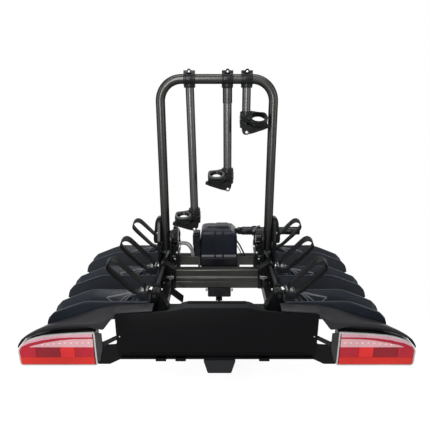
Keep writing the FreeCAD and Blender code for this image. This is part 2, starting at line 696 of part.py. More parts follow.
def board_brackets():
    """The board's two plates, the hangers of the pedal pin and the release rod's saddle."""
    front = BAR_REAR_Y - BAR_REAR_D / 2
    back_of_board = BOARD_Y + BOARD_T
    arms = []
    for x in (-120, 120):
        foot = box(x - 14, x + 14, front - 5, front, BAR_REAR_Z0, BAR_REAR_Z1)
        web = box(x - 3, x + 3, back_of_board, front - 5, BAR_REAR_Z0, BAR_REAR_Z1)
        pad = box(x - 24, x + 24, back_of_board, back_of_board + 4, BAR_REAR_Z0 - 20,
                  BAR_REAR_Z1 + 8)
        arms.append(fuse([foot, web, pad]))
    inner, outer = pedal_hanger_faces()
    for side in (-1, 1):
        x0, x1 = sorted((SPINE_X + side * (inner + GAP + 10), SPINE_X + side * (outer + GAP + 10)))
        hanger = plate([(BAR_REAR_Y - 14, BAR_REAR_Z0), (BAR_REAR_Y + 14, BAR_REAR_Z0),
                        (BAR_REAR_Y + 12, PEDAL_PIVOT_Z - 10),
                        (BAR_REAR_Y - 12, PEDAL_PIVOT_Z - 10)], "yz", x0, x1, (0, 0, 8, 8))
        hole = rod(V(x0 - 1, PEDAL_PIVOT_Y, PEDAL_PIVOT_Z), V(x1 + 1, PEDAL_PIVOT_Y,
                   PEDAL_PIVOT_Z), PEDAL_PIN_R)
        arms.append(hanger.cut(hole))
    return group(arms + [rod_guide()])


def foot_pedal():
    """A press pad under the board on a cranked arm that turns on the pedal pin."""
    inner = pedal_hanger_faces()[0] + 10
    pad = plate([(SPINE_X - PEDAL_FOOT_HALF, PEDAL_Z0), (SPINE_X + PEDAL_FOOT_HALF, PEDAL_Z0),
                 (SPINE_X + PEDAL_TOP_HALF, PEDAL_Z1), (SPINE_X - PEDAL_TOP_HALF, PEDAL_Z1)],
                "xz", PEDAL_Y - PEDAL_T / 2, PEDAL_Y + PEDAL_T / 2, (5, 5, 3, 3))
    arm = plate([(PEDAL_Y, PEDAL_Z0 + 8), (PEDAL_Y + 20, PEDAL_Z0 + 8),
                 (PEDAL_PIVOT_Y + 13, PEDAL_PIVOT_Z - 12), (PEDAL_PIVOT_Y + 13, PEDAL_PIVOT_Z + 10),
                 (PEDAL_PIVOT_Y - 13, PEDAL_PIVOT_Z + 10), (PEDAL_PIVOT_Y - 16, PEDAL_PIVOT_Z - 6),
                 (PEDAL_Y, PEDAL_Z0 + 34)], "yz", SPINE_X - inner, SPINE_X + inner,
                (0, 20, 12, 8, 8, 10, 0))
    slot = box(SPINE_X - 10, SPINE_X + 10, PEDAL_PIVOT_Y - 40, PEDAL_PIVOT_Y + 20,
               PEDAL_PIVOT_Z - 60, PEDAL_PIVOT_Z + 20)
    hole = rod(V(SPINE_X - inner - 1, PEDAL_PIVOT_Y, PEDAL_PIVOT_Z),
               V(SPINE_X + inner + 1, PEDAL_PIVOT_Y, PEDAL_PIVOT_Z), PEDAL_PIN_R + RUN)
    link_z = PEDAL_PIVOT_Z - ROD_DROP
    solid = fuse([pad, arm]).cut([slot, hole])
    link_pin = rod(V(SPINE_X - 12, PEDAL_PIVOT_Y, link_z), V(SPINE_X + 12, PEDAL_PIVOT_Y, link_z),
                   4)
    return fuse([solid, link_pin])


def release_rod():
    """The rod that the pedal pushes, with a slotted eye round the pedal's link pin."""
    z = PEDAL_PIVOT_Z - ROD_DROP
    end = V(SPINE_X, BEAM_BACK_Y - CAP_T + 40, z)
    start = V(SPINE_X, PEDAL_PIVOT_Y + 16, z)
    eye = box(SPINE_X - 6, SPINE_X + 6, PEDAL_PIVOT_Y - 12, PEDAL_PIVOT_Y + 18, z - 12, z + 12)
    slot = box(SPINE_X - 7, SPINE_X + 7, PEDAL_PIVOT_Y - 5.5, PEDAL_PIVOT_Y + 5.5, z - 8, z + 8)
    return fuse([eye.cut(slot), rod(start, end, ROD_R)])


def board_outline():
    """The number board's outline: raised crest, sloping shoulders and arched ends."""
    right = [(BOARD_BOTTOM_HALF, BOARD_Z0), (BOARD_HALF, BOARD_END_Z),
             (BOARD_SHOULDER_X, BOARD_SHOULDER_Z), (BOARD_CREST_X, BOARD_CREST_Z)]
    return right + [(-x, z) for x, z in reversed(right)]


def number_board():
    """A thin board with a folded lower lip and small clips along its lower edge."""
    radii = (6, 5, 40, 20, 20, 40, 5, 6)
    sheet = plate(board_outline(), "xz", BOARD_Y, BOARD_Y + BOARD_T, radii)
    lip = box(-BOARD_BOTTOM_HALF + 8, BOARD_BOTTOM_HALF - 8, BOARD_Y - BOARD_LIP, BOARD_Y,
              BOARD_Z0, BOARD_Z0 + 4)
    pieces = [sheet, lip]
    for x in (-170, -110, 144):
        pieces.append(box(x - 16, x + 16, BOARD_Y - BOARD_LIP, BOARD_Y + BOARD_T, BOARD_Z0 - 7,
                          BOARD_Z0 + 4))
    cap = box(-BOARD_CREST_X + 6, BOARD_CREST_X - 6, BOARD_Y + BOARD_T, BOARD_Y + 14,
              BOARD_CREST_Z - 5, BOARD_CREST_Z)
    pieces.append(cap)
    return fuse(pieces)


def plug_holder():
    """The parking holder for the plug, on a strut from the front crossbar's left half."""
    face = SPINE_X - COVER_W / 2 - 2
    z0 = TILT_Z + BAR_FRONT_H / 2
    body = plate([(face - 28, 214), (face, 206), (face, 272), (face - 22, 272), (face - 28, 262)],
                 "xz", TILT_Y - 18, TILT_Y + 18, (6, 3, 3, 8, 6))
    strut = box(face - 20, face - 13, TILT_Y - 14, TILT_Y + 14, z0, 216)
    nose = rod(V(face - 14, TILT_Y - 18, 257), V(face - 14, TILT_Y - 26, 257), 9)
    return fuse([body, strut, nose])


def leads():
    """Two grey leads from the left bracket to the plug holder, and a black one on the right."""
    face = SPINE_X - COVER_W / 2 - 2
    x0 = bracket_faces()[0]
    end_x, end_y = face - 14, TILT_Y - 18
    routes = [
        [V(-x0, 18, 228), V(18 - x0, 18, 228), V(-128, 24, 236), V(-107, 35, 240),
         V(-90, 47, 239), V(end_x, end_y - 14, 237), V(end_x, end_y, 237)],
        [V(-x0, 18, 212), V(18 - x0, 18, 212), V(-128, 23, 221), V(-108, 33, 226),
         V(-91, 46, 225), V(end_x, end_y - 14, 222), V(end_x, end_y, 222)],
    ]
    solids = []
    for route in routes:
        radii = [0]
        for back, here, ahead in zip(route, route[1:], route[2:]):
            run = min((here - back).Length, (ahead - here).Length)
            turn = (here - back).getAngle(ahead - here)
            radii.append(0.45 * run / math.tan(turn / 2))
        radii.append(0)
        LEAD_RADII.append(min(radii[1:-1]))
        solids.append(tube_along(route, radii, 3.5))
    return group(solids)


# Upright and arms

def u_frame():
    top, foot, half = UPRIGHT_TOP_Z, UPRIGHT_FOOT_Z, UPRIGHT_HALF
    points = [V(-half, 0, foot), V(-half, 0, top), V(half, 0, top), V(half, 0, foot)]
    tube = tube_along(points, [0, UPRIGHT_BEND_R, UPRIGHT_BEND_R, 0], TUBE_R, TUBE_R - TUBE_WALL)
    x0, x3 = bracket_faces()[0], bracket_faces()[3]
    holes = [rod(V(x0, 0, PIVOT_Z), V(x3, 0, PIVOT_Z), PIVOT_R + RUN)]
    holes.append(mirrored(holes[0]))
    return tube.cut(holes)


def lean(index):
    """Sideways lean of an arm, in degrees about Y, from its clamp to its head."""
    run = ARM_END_X[index] - ARM_TOP_X[index]
    drop = UPRIGHT_TOP_Z - HEAD_TOP_Z[index]
    return -math.degrees(math.atan2(run, drop))


def leaned(shape, index):
    moved = shape.copy()
    moved.rotate(V(ARM_TOP_X[index], 0, UPRIGHT_TOP_Z), Y, lean(index))
    return moved


def arm_clamp(index):
    """A split clamp round the top tube, with two bolted ears and a socket for the arm."""
    x = ARM_TOP_X[index]
    half = CLAMP_W / 2
    top = UPRIGHT_TOP_Z
    outer = TUBE_R + CLAMP_WALL
    body = rod(V(x - half, 0, top), V(x + half, 0, top), outer)
    ears = box(x - half, x + half, -outer * 0.55, outer * 0.55, top, top + outer + CLAMP_EAR_H - 8)
    socket = rod(V(x, 0, top - CLAMP_DROP), V(x, 0, top - TUBE_R), ARM_R + 5)
    solid = fuse([body, ears, socket])
    slit = box(x - half - 1, x + half + 1, -CLAMP_SLIT / 2, CLAMP_SLIT / 2, top,
               top + outer + CLAMP_EAR_H)
    tube_way = rod(V(x - half - 1, 0, top), V(x + half + 1, 0, top), TUBE_R + RUN)
    arm_way = rod(V(x, 0, top - CLAMP_DROP - 1), V(x, 0, top - TUBE_R - 3), ARM_R + RUN)
    bolt_z = top + outer + 2
    bolt_way = rod(V(x, -outer, bolt_z), V(x, outer, bolt_z), 4)
    shank = rod(V(x, -outer * 0.55, bolt_z), V(x, outer * 0.55, bolt_z), 4)
    head = rod(V(x, -outer * 0.55 - 6, bolt_z), V(x, -outer * 0.55, bolt_z), 7)
    nut = rod(V(x, outer * 0.55, bolt_z), V(x, outer * 0.55 + 6, bolt_z), 7)
    solid = solid.cut([slit, tube_way, leaned(arm_way, index), bolt_way])
    return group([solid, fuse([shank, head, nut])])


def arm_tube(index):
    x = ARM_TOP_X[index]
    top = UPRIGHT_TOP_Z - TUBE_R - ARM_TOP_GAP
    tube = ring(V(x, 0, HEAD_TOP_Z[index] - SLEEVE_H + 8), V(x, 0, top), ARM_R, ARM_R - ARM_WALL)
    return leaned(tube, index)


def ring_frame(index):
    """Centre of the clamp ring and the direction of its axis, before the arm's lean."""
    x = ARM_TOP_X[index]
    centre = V(x + HEAD_SIDE[index] * RING_OUT[index], -RING_FRONT, HEAD_TOP_Z[index] - RING_DROP)
    tilt = math.radians(RING_TILT)
    return centre, V(0, -math.sin(tilt), math.cos(tilt))


def head_bolt_z(index):
    return HEAD_TOP_Z[index] - HEAD_BOLT_DROP


def arm_head(index):
    """Sleeve on the arm's end, with the frame ring on a neck and the bolt foot below."""
    x, side = ARM_TOP_X[index], HEAD_SIDE[index]
    top = HEAD_TOP_Z[index]
    centre, axis = ring_frame(index)
    low = top - SLEEVE_H
    sleeve = rod(V(x, 0, low), V(x, 0, top), SLEEVE_R)
    foot = plate([(x - 15, low + 4), (x + 15, low + 4), (x + 10, head_bolt_z(index) - 12),
                  (x - 10, head_bolt_z(index) - 12)], "xz", -10, 10, (0, 0, 7, 7))
    loop = rod(centre - axis * (RING_H / 2), centre + axis * (RING_H / 2), RING_R)
    reach = centre - V(side * 14, -10, 0)
    neck = rod(V(x, 0, centre.z), reach, 13)
    bolt_z = head_bolt_z(index)
    boss = rod(V(x, LATCH_Y + GAP, bolt_z), V(x, -9, bolt_z), HEAD_BOLT_R + 3)
    solid = fuse([sleeve, foot, loop, neck, boss])
    below = centre - axis * (RING_H / 2)
    bore = fuse([rod(centre - axis * RING_H, centre + axis * RING_H, RING_BORE),
                 rod(below - axis * RING_H, below, RING_BORE + 4)])
    arm_way = rod(V(x, 0, low + 8), V(x, 0, top + 1), ARM_R)
    bolt_way = rod(V(x, LATCH_Y, bolt_z), V(x, 11, bolt_z), HEAD_BOLT_R)
    solid = solid.cut([bore, arm_way, bolt_way])
    face = LATCH_Y - LATCH_W - GAP
    shank = fuse([rod(V(x, face, bolt_z), V(x, 10, bolt_z), HEAD_BOLT_R),
                  rod(V(x, face - 5, bolt_z), V(x, face, bolt_z), HEAD_BOLT_R + 3)])
    return leaned(group([solid, shank]), index)


def arm_latch(index):
    """The strap lever close under the ring: it turns on the head's bolt, with a hooked tip."""
    x, side = ARM_TOP_X[index], HEAD_SIDE[index]
    centre, axis = ring_frame(index)
    bolt_z = head_bolt_z(index)
    y0, y1 = LATCH_Y - LATCH_W, LATCH_Y
    end_x = centre.x + side * (RING_R + 9)
    under = centre.z - RING_H / 2 - 21
    outline = [(x - side * 9, bolt_z - 7), (x + side * 12, bolt_z - 7), (end_x - side * 12, under),
               (end_x, under + 5), (end_x, under + 14), (end_x - side * 10, under + 17),
               (end_x - side * 14, centre.z), (x - side * 9, centre.z)]
    solid = plate(outline, "xz", y0, y1, (8, 14, 10, 4, 5, 3, 0, 0))
    room = rod(centre - axis * (RING_H / 2 + GAP), centre + axis * 40, RING_R + 24)
    bolt_way = rod(V(x, y0 - 1, bolt_z), V(x, y1 + 1, bolt_z), HEAD_BOLT_R + RUN)
    return leaned(solid.cut([room, bolt_way]), index)


# Wings

def tray_floor(x):
    """The Z of the tray's floor at an X: level by the hinge, deeper under the wheel."""
    floor = TRAY_FLOOR_Z
    knees = [(TRAY_X0, floor), (DECK_X1 - 8, floor), (DECK_X1 + 52, floor - TRAY_DEEP),
             (TRAY_CREST_X, floor - TRAY_DEEP - 3), (TRAY_FALL_X, floor - TRAY_FALL),
             (TRAY_TAIL_X, floor - TRAY_TAIL_DROP), (TRAY_X1 + 1, floor - TRAY_END_DROP)]
    for (x0, z0), (x1, z1) in zip(knees, knees[1:]):
        if x <= x1:
            return z0 + (z1 - z0) * (x - x0) / (x1 - x0)
    return knees[-1][1]


def tray_profile():
    """The tray's side outline in XZ."""
    rim, floor = TRAY_RIM_Z, TRAY_FLOOR_Z
    below = [TRAY_X0, DECK_X1 - 8, DECK_X1 + 52, TRAY_CREST_X, TRAY_FALL_X, TRAY_TAIL_X, TRAY_X1]
    return [(x, tray_floor(x)) for x in below] + [
        (TRAY_X1, floor - TRAY_END_DROP + 12), (TRAY_STEP_X, floor - 11),
        (TRAY_SHOULDER_X, rim - TRAY_SHOULDER_DROP), (TRAY_BROW_X, rim - 1),
        (TRAY_CREST_X, rim + TRAY_CREST_RISE), (DECK_X1 + 12, rim),
        (TRAY_X0 + 7, rim), (TRAY_X0, rim - 7)]


def trough_profile():
    """The trough's outline in XZ: a ramp down from the deck, the floor and the outer end."""
    wall, rim, end = TRAY_WALL, TRAY_RIM_Z, TRAY_X1 - 10
    below = [DECK_X1 + 52, TRAY_CREST_X, TRAY_FALL_X, TRAY_TAIL_X]
    return [(DECK_X1 + 4, rim - 8)] + [(x, tray_floor(x) + wall) for x in below] + [
        (end, tray_floor(end) + 12), (end, rim + 20), (DECK_X1 + 4, rim + 20)]


def wheel_tray(row_y):
    """A wheel trough whose side walls draw in to the floor, with a closed inner deck."""
    foot, wide = TRAY_FOOT_W / 2, TRAY_W / 2
    low, high = TRAY_FLOOR_Z - TRAY_END_DROP - 2, TRAY_RIM_Z + 3
    radii = (3, 20, 40, 60, 40, 20, 6, 6, 4, 4, 20, 60, 0, 4, 3)
    side = plate(tray_profile(), "xz", row_y - wide, row_y + wide, radii)
    section = plate([(row_y - foot, low), (row_y + foot, low), (row_y + wide, high - 6),
                     (row_y + wide, high), (row_y - wide, high), (row_y - wide, high - 6)],
                    "yz", TRAY_X0 - 1, TRAY_X1 + 1)
    outer = side.common(section)
    wall = TRAY_WALL
    trough_side = plate(trough_profile(), "xz", row_y - wide, row_y + wide,
                        (3, 20, 60, 40, 20, 6, 0, 0))
    trough_section = plate([(row_y - foot / 3, low), (row_y + foot / 3, low),
                            (row_y + wide - wall, high - 6), (row_y + wide - wall, high + 20),
                            (row_y - wide + wall, high + 20), (row_y - wide + wall, high - 6)],
                           "yz", TRAY_X0 - 1, TRAY_X1 + 1)
    return outer.cut(trough_side.common(trough_section))


def light_stay():
    """The wing rail's rear stay: an arm behind the board out to the lamp, and a thin brace."""
    y0, y1 = WING_RAIL_Y0, WING_RAIL_Y0 + STAY_T
    x0, x1 = WING_RAIL_X0, LIGHT_X0
    knee = BOARD_HALF - STAY_KNEE
    arm = plate([(x0, TRAY_FLOOR_Z - WING_RAIL_H), (knee, 50), (BOARD_HALF - 12, 22),
                 (x1 - 36, 1), (x1, 1), (x1, 66), (BOARD_HALF + 6, 70), (knee + 30, 96),
                 (x0 + 30, TRAY_FLOOR_Z), (x0, TRAY_FLOOR_Z)],
                "xz", y0, y1, (0, 20, 10, 4, 0, 0, 10, 20, 20, 0))
    root, tip = V(knee + 26, (y0 + y1) / 2, 107), V(x1 + 5, (y0 + y1) / 2, 65)
    brace = rod(root, tip, STAY_T / 2).cut(box(x1, x1 + 20, y0, y1, 40, 90))
    lug = box(knee + 14, knee + 32, y0, y1, 84, 120)
    return [arm, brace, lug]


def wing_rail():
    """The rail under the trays, with three pairs of hinge lugs that reach up to the pins."""
    x0, x1 = WING_RAIL_X0, WING_RAIL_X0 + WING_RAIL_W
    z1 = TRAY_FLOOR_Z
    z0 = z1 - WING_RAIL_H
    rail = hollow_bar(x0, x1, WING_RAIL_Y0, WING_RAIL_Y1, z0, z1, WING_RAIL_WALL, "y")
    pieces = [rail]
    for row in HINGE_ROWS:
        for side in (-1, 1):
            near = row + side * (KNUCKLE_W / 2 + GAP)
            far = near + side * LUG_W
            y0, y1 = sorted((near, far))
            lug = plate([(x0, z0 + 4), (x0, z1), (HINGE_X + LUG_T, z1 + 18),
                         (HINGE_X + LUG_T, HINGE_Z + LUG_T), (HINGE_X - LUG_T, HINGE_Z + LUG_T),
                         (HINGE_X - LUG_T, HINGE_Z - 16), (HINGE_X + 2, RAIL_Z1 + 8),
                         (HINGE_X + 2, z0 + 4)],
                        "xz", y0, y1, (0, 0, 0, 11, 11, 11, 0, 0))
            hole = rod(V(HINGE_X, y0 - 1, HINGE_Z), V(HINGE_X, y1 + 1, HINGE_Z),
                       HINGE_PIN_R + RUN)
            pieces.append(lug.cut(hole))
    pieces += light_stay()
    return fuse(pieces)


def strap_points():
    """The strap loop's path from the buckle round the wheel rim and back, in XZ."""
    top = TRAY_RIM_Z + BUCKLE_H
    low = TRAY_RIM_Z + 9
    return [V(BUCKLE_X1, 0, low), V(BUCKLE_X1 + 11, 0, low),
            V(STRAP_TIP_X, 0, STRAP_TIP_Z), V(STRAP_TIP_X - 4, 0, STRAP_TOP_Z - 6),
            V(STRAP_TOP_X, 0, STRAP_TOP_Z), V(BUCKLE_X0 + 17, 0, top + 15),
            V(BUCKLE_X0 + 17, 0, top)]


def wheel_straps():
    straps = []
    for row_y in TRAY_ROWS:
        straps.append(band(strap_points(), STRAP_BEND_R, STRAP_T, STRAP_W, row_y))
    return straps


def strap_buckles():
    blocks = []
    for row_y in TRAY_ROWS:
        z0, z1 = TRAY_RIM_Z, TRAY_RIM_Z + BUCKLE_H
        half = BUCKLE_W / 2
        block = plate([(BUCKLE_X0, z0), (BUCKLE_X1, z0), (BUCKLE_X1, z0 + 14),
                       (BUCKLE_X0 + 24, z1), (BUCKLE_X0, z1)], "xz", row_y - half, row_y + half,
                      (0, 0, 3, 4, 4))
        pin = rod(V(BUCKLE_X1 - 8, row_y - half - GAP - LEVER_ARM_T, z0 + 8),
                  V(BUCKLE_X1 - 8, row_y + half + GAP + LEVER_ARM_T, z0 + 8), 3)
        blocks.append(fuse([block, pin]))
    return blocks


def buckle_lever(row_y):
    """A release lever: two side arms on the buckle's pin, joined across its inner end."""
    z0 = TRAY_RIM_Z
    half = BUCKLE_W / 2 + GAP
    outline = [(BUCKLE_X1 - 2, z0 + 2), (BUCKLE_X1 - 2, z0 + 14), (BUCKLE_X0 + 2, z0 + 24),
               (BUCKLE_X0 - 3, z0 + 24), (BUCKLE_X0 - 3, z0 + 14)]
    pieces = []
    for y0, y1 in ((row_y - half - LEVER_ARM_T, row_y - half),
                   (row_y + half, row_y + half + LEVER_ARM_T)):
        side = plate(outline, "xz", y0, y1, (4, 4, 3, 3, 3))
        hole = rod(V(BUCKLE_X1 - 8, y0 - 1, z0 + 8), V(BUCKLE_X1 - 8, y1 + 1, z0 + 8), 3 + RUN)
        pieces.append(side.cut(hole))
    pieces.append(box(BUCKLE_X0 - 3, BUCKLE_X0 + 5, row_y - half, row_y + half,
                      z0 + BUCKLE_H + GAP, z0 + 24))
    return fuse(pieces)


def light_outline(grow):
    """The light unit's outline in XZ, grown outwards from the lens."""
    return [(LIGHT_X0 - grow, -grow), (LIGHT_X1 - 6, -grow), (LIGHT_X1 + grow, 8 - grow / 2),
            (LIGHT_X1 + grow, LIGHT_TIP_Z + grow / 2),
            (LIGHT_BROW[2][0] + grow / 2, LIGHT_BROW[2][1] + grow),
            (LIGHT_BROW[1][0], LIGHT_BROW[1][1] + grow),
            (LIGHT_BROW[0][0], LIGHT_BROW[0][1] + grow), (LIGHT_X0 - grow, LIGHT_TOP_Z + grow)]


LIGHT_RADII = (6, 8, 8, 12, 30, 60, 100, 6)


def light_housing():
    """The lamp body: a shell with a rim round the lens, open to the rear of the car."""
    body = plate(light_outline(0), "xz", BOARD_Y, BOARD_Y + LIGHT_DEPTH, LIGHT_RADII)
    pocket = plate(light_outline(-LIGHT_RIM), "xz", BOARD_Y, BOARD_Y + LIGHT_DEPTH - 4,
                   (2, 4, 4, 8, 30, 60, 100, 2))
    end_x = LIGHT_X0 - PLATE_LAMP_W
    plate_lamp = plate([(LIGHT_X0 + 1, 14), (LIGHT_X0 + 1, LIGHT_TOP_Z - 5),
                        (end_x, LIGHT_TOP_Z - 5), (end_x, 62), (LIGHT_X0 - 8, 14)],
                       "xz", BOARD_Y, BOARD_Y + LENS_T - SEAT, (0, 0, 4, 12, 3))
    return fuse([body.cut(pocket), plate_lamp])


def light_lens():
    """A lens that sits in the lamp body's rim and stands proud of it."""
    inset = -LIGHT_RIM - SEAT
    return plate(light_outline(inset), "xz", BOARD_Y - LENS_T / 2, BOARD_Y + LENS_T,
                 (2, 4, 4, 8, 30, 60, 100, 2))


def loft(sections):
    """A solid with straight sides from one closed outline to the next."""
    wires = [Part.makePolygon(points + [points[0]]) for points in sections]
    return Part.makeLoft(wires, True, True)


def light_top(x):
    """The highest Z of the light unit's outline at an X."""
    knees = [(LIGHT_X0 - 100, LIGHT_TOP_Z), (LIGHT_X0, LIGHT_TOP_Z)] + list(LIGHT_BROW) + [
        (LIGHT_X1 + 1, LIGHT_TIP_Z)]
    for (x0, z0), (x1, z1) in zip(knees, knees[1:]):
        if x <= x1:
            return z0 + (z1 - z0) * (x - x0) / (x1 - x0)
    return LIGHT_TIP_Z


def wing_cover():
    """The skirt over a wing's rear edge: a sheet that falls back to the board and the light."""
    sheet, web = [], []
    for x, z, height, back_y, back_z in COVER_STATIONS:
        sheet.append([V(x, BOARD_Y, z - height), V(x, BOARD_Y, z - COVER_CHAMFER),
                      V(x, BOARD_Y + COVER_CHAMFER, z), V(x, back_y, back_z),
                      V(x, back_y, back_z - COVER_SHEET_T)])
        if COVER_WEB_X0 <= x:
            y = min(back_y - 3, BOARD_Y + 26)
            share = (y - BOARD_Y) / (back_y - BOARD_Y)
            top = z + (back_z - z) * share - COVER_SHEET_T / 2
            low = light_top(x) + SEAT + 1.2
            web.append([V(x, y - COVER_WEB_T, low), V(x, y, low), V(x, y, top),
                        V(x, y - COVER_WEB_T, top)])
    foot_x = WING_RAIL_X0 + 3
    foot = box(foot_x, foot_x + WING_RAIL_W - 6, BOARD_Y + 9, BOARD_Y + 21, TRAY_FLOOR_Z + SEAT,
               COVER_STATIONS[0][1] - 2)
    return fuse([loft(sheet), loft(web), foot])


def build():
    """Every saved part by name."""
    parts = {
        "coupling_housing": coupling_housing(),
        "coupling_cover": coupling_cover(),
        "ball_cup": ball_cup(),
        "clamp_jaw": clamp_jaw(),
        "coupling_lever": coupling_lever(),
        "hinge_yoke": hinge_yoke(),
        "crossbar_front": crossbar_front(),
        "crossbar_middle": crossbar_middle(),
        "crossbar_rear": crossbar_rear(),
        "main_beam": main_beam(),
        "beam_cap": beam_cap(),
        "side_rails": side_rails(),
        "hinge_castings": hinge_castings(),
        "upright_brackets": upright_brackets(),
        "platform_fasteners": platform_fasteners(),
        "lock_knob_right": lock_knob(),
        "lock_knob_left": mirrored(lock_knob()),
        "plug_holder": plug_holder(),
        "leads": leads(),
        "number_board": number_board(),
        "board_brackets": board_brackets(),
        "foot_pedal": foot_pedal(),
        "release_rod": release_rod(),
        "u_frame": u_frame(),
    }
    for index in range(3):
        number = index + 1
        parts[f"arm_clamp_{number}"] = arm_clamp(index)
        parts[f"arm_tube_{number}"] = arm_tube(index)
        parts[f"arm_head_{number}"] = arm_head(index)
        parts[f"arm_latch_{number}"] = arm_latch(index)
    rows = ("front", "middle", "rear")
    for hand, place in (("right", lambda shape: shape), ("left", mirrored)):
        for row, row_y in zip(rows, TRAY_ROWS):
            parts[f"wheel_tray_{row}_{hand}"] = place(wheel_tray(row_y))
            parts[f"buckle_lever_{row}_{hand}"] = place(buckle_lever(row_y))
        parts[f"wing_rail_{hand}"] = place(wing_rail())
        parts[f"wheel_straps_{hand}"] = place(group(wheel_straps()))
        parts[f"strap_buckles_{hand}"] = place(group(strap_buckles()))
        parts[f"wing_cover_{hand}"] = place(wing_cover())
        parts[f"light_housing_{hand}"] = place(light_housing())
        parts[f"light_lens_{hand}"] = place(light_lens())
    return parts


os.makedirs("parts", exist_ok=True)
for name, shape in build().items():
    shape.translate(-DATUM)
    if not shape.isValid():
        print("not valid:", name)
    shape.exportStep(f"parts/{name}.step")
print("smallest lead bend radius", [round(radius, 1) for radius in LEAD_RADII])
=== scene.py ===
# %% [markdown]
# # Dressing a hitch bike carrier
# The carrier clamps on a car's towball and takes three bicycles. Its frame comes ready made from
# CAD. This lesson dresses it: it makes the finishes, and models the moulded trays, the lamps, the
# straps and the small pieces that give the real carrier its look.

# %% Load the frame
import bmesh
import bpy
import math
from mathutils import Matrix, Vector


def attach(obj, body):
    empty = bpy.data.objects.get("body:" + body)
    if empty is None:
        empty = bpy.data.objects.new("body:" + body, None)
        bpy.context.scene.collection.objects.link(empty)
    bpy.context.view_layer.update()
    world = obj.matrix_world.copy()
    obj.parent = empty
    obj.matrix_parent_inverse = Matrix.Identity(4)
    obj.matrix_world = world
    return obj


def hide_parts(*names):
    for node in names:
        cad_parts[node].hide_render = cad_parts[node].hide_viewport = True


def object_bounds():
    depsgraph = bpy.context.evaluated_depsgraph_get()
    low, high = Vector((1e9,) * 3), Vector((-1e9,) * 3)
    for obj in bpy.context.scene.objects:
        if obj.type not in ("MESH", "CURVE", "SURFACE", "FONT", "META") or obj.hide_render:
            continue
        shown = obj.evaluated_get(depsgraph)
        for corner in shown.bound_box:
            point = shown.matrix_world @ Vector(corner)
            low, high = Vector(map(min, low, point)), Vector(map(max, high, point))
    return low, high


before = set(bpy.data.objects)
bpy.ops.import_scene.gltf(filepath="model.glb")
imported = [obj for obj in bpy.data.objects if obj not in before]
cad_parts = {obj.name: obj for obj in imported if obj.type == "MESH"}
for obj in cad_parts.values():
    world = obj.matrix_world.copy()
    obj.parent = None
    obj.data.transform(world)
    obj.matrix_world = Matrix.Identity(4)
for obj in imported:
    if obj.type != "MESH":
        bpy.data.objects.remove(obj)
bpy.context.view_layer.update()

# %% [markdown]
# ## One working frame
# Measures are easiest in millimetres from the carrier's own middle: x to the right, y towards the
# car, z up from the lower edge of the lamps. The scene is in metres from the towball's centre, so
# each finished mesh is moved and scaled once, when it becomes an object. The three rows of trays,
# the board's face and the middle of the top tube are places that many pieces share.

# %% Working frame
DATUM = Vector((8, 175, 100))
ROWS = {"front": 86, "middle": -120, "rear": -298}
HANDS = ("right", "left")
BOARD_FACE = -378.5
TOP_TUBE = 847
RIGHT, UP, BACK = (1, 0, 0), (0, 0, 1), (0, -1, 0)


def at(x, y, z):
    """A point of the working frame, in the scene's metres."""
    return (Vector((x, y, z)) - DATUM) / 1000


print("towball at", tuple(at(*DATUM)))

# %% [markdown]
# ## The camera
# The photograph was taken from behind the car, a little above the carrier, looking 17 degrees
# down. The lens and place were found by fitting known points of the carrier to the picture.

# %% Camera
LOOK_DOWN = 17.1
camera_data = bpy.data.cameras.new("photo_camera")
camera_data.lens = 32.14
camera_data.sensor_width = 36
camera_data.shift_x = -0.0044
camera = bpy.data.objects.new("photo_camera", camera_data)
camera.location = at(0, -1370.6, 789.4)
camera.rotation_euler = (math.radians(90 - LOOK_DOWN), 0, 0)
scene = bpy.context.scene
scene.collection.objects.link(camera)
scene.camera = camera
print("camera at", tuple(round(v, 3) for v in camera.location))

# %% [markdown]
# ## Light
# Black plastic shows its shape only through what it reflects. Wide soft lamps above and at the
# sides draw long pale lines along tubes and rims, and a tall narrow one draws a line down the
# uprights.

# %% Soft lamps
scene.view_settings.view_transform = "Standard"


def soft_lamp(name, place, target, size, power):
    """A wide lamp that faces a point of the working frame."""
    data = bpy.data.lights.new(name, "AREA")
    data.shape = "RECTANGLE"
    data.size, data.size_y = size
    data.energy = power
    lamp = bpy.data.objects.new(name, data)
    lamp.location = at(*place)
    way = at(*target) - lamp.location
    lamp.rotation_euler = way.to_track_quat("-Z", "Y").to_euler()
    scene.collection.objects.link(lamp)


soft_lamp("sky_panel", (0, 100, 2300), (0, -100, 200), (2.4, 1.4), 38)
soft_lamp("left_panel", (-2100, -900, 1100), (0, -100, 250), (0.6, 1.6), 9)
soft_lamp("right_panel", (2100, -900, 1100), (0, -100, 250), (0.6, 1.6), 9)
soft_lamp("brow_panel", (-300, -2000, 2050), (0, -250, 180), (2.6, 0.7), 22)
soft_lamp("front_strip", (-520, -2700, 1250), (0, -100, 380), (0.34, 2), 64)

# %% [markdown]
# ## Shader nodes
# The backdrop and all finishes are small networks of nodes. One helper adds a node and sets or
# links its inputs.

# %% A helper for nodes


def feed(tree, fed, inputs):
    """Set a node's inputs. Each takes a value, or the output of another node."""
    for socket, value in inputs.items():
        if isinstance(value, bpy.types.NodeSocket):
            tree.links.new(value, fed.inputs[socket])
        else:
            fed.inputs[socket].default_value = value


def node(tree, kind, inputs=None, **settings):
    """Add a shader node with its settings and inputs."""
    made = tree.nodes.new("ShaderNode" + kind)
    for name, value in settings.items():
        setattr(made, name, value)
    feed(tree, made, inputs or {})
    return made


def any_ray(tree, *kinds):
    """An output that is 1 for a ray of any of these kinds."""
    path = node(tree, "LightPath")
    rays = path.outputs[kinds[0]]
    for kind in kinds[1:]:
        rays = node(tree, "Math", {0: rays, 1: path.outputs[kind]}, operation="MAXIMUM").outputs[0]
    return rays


print("node helpers ready")

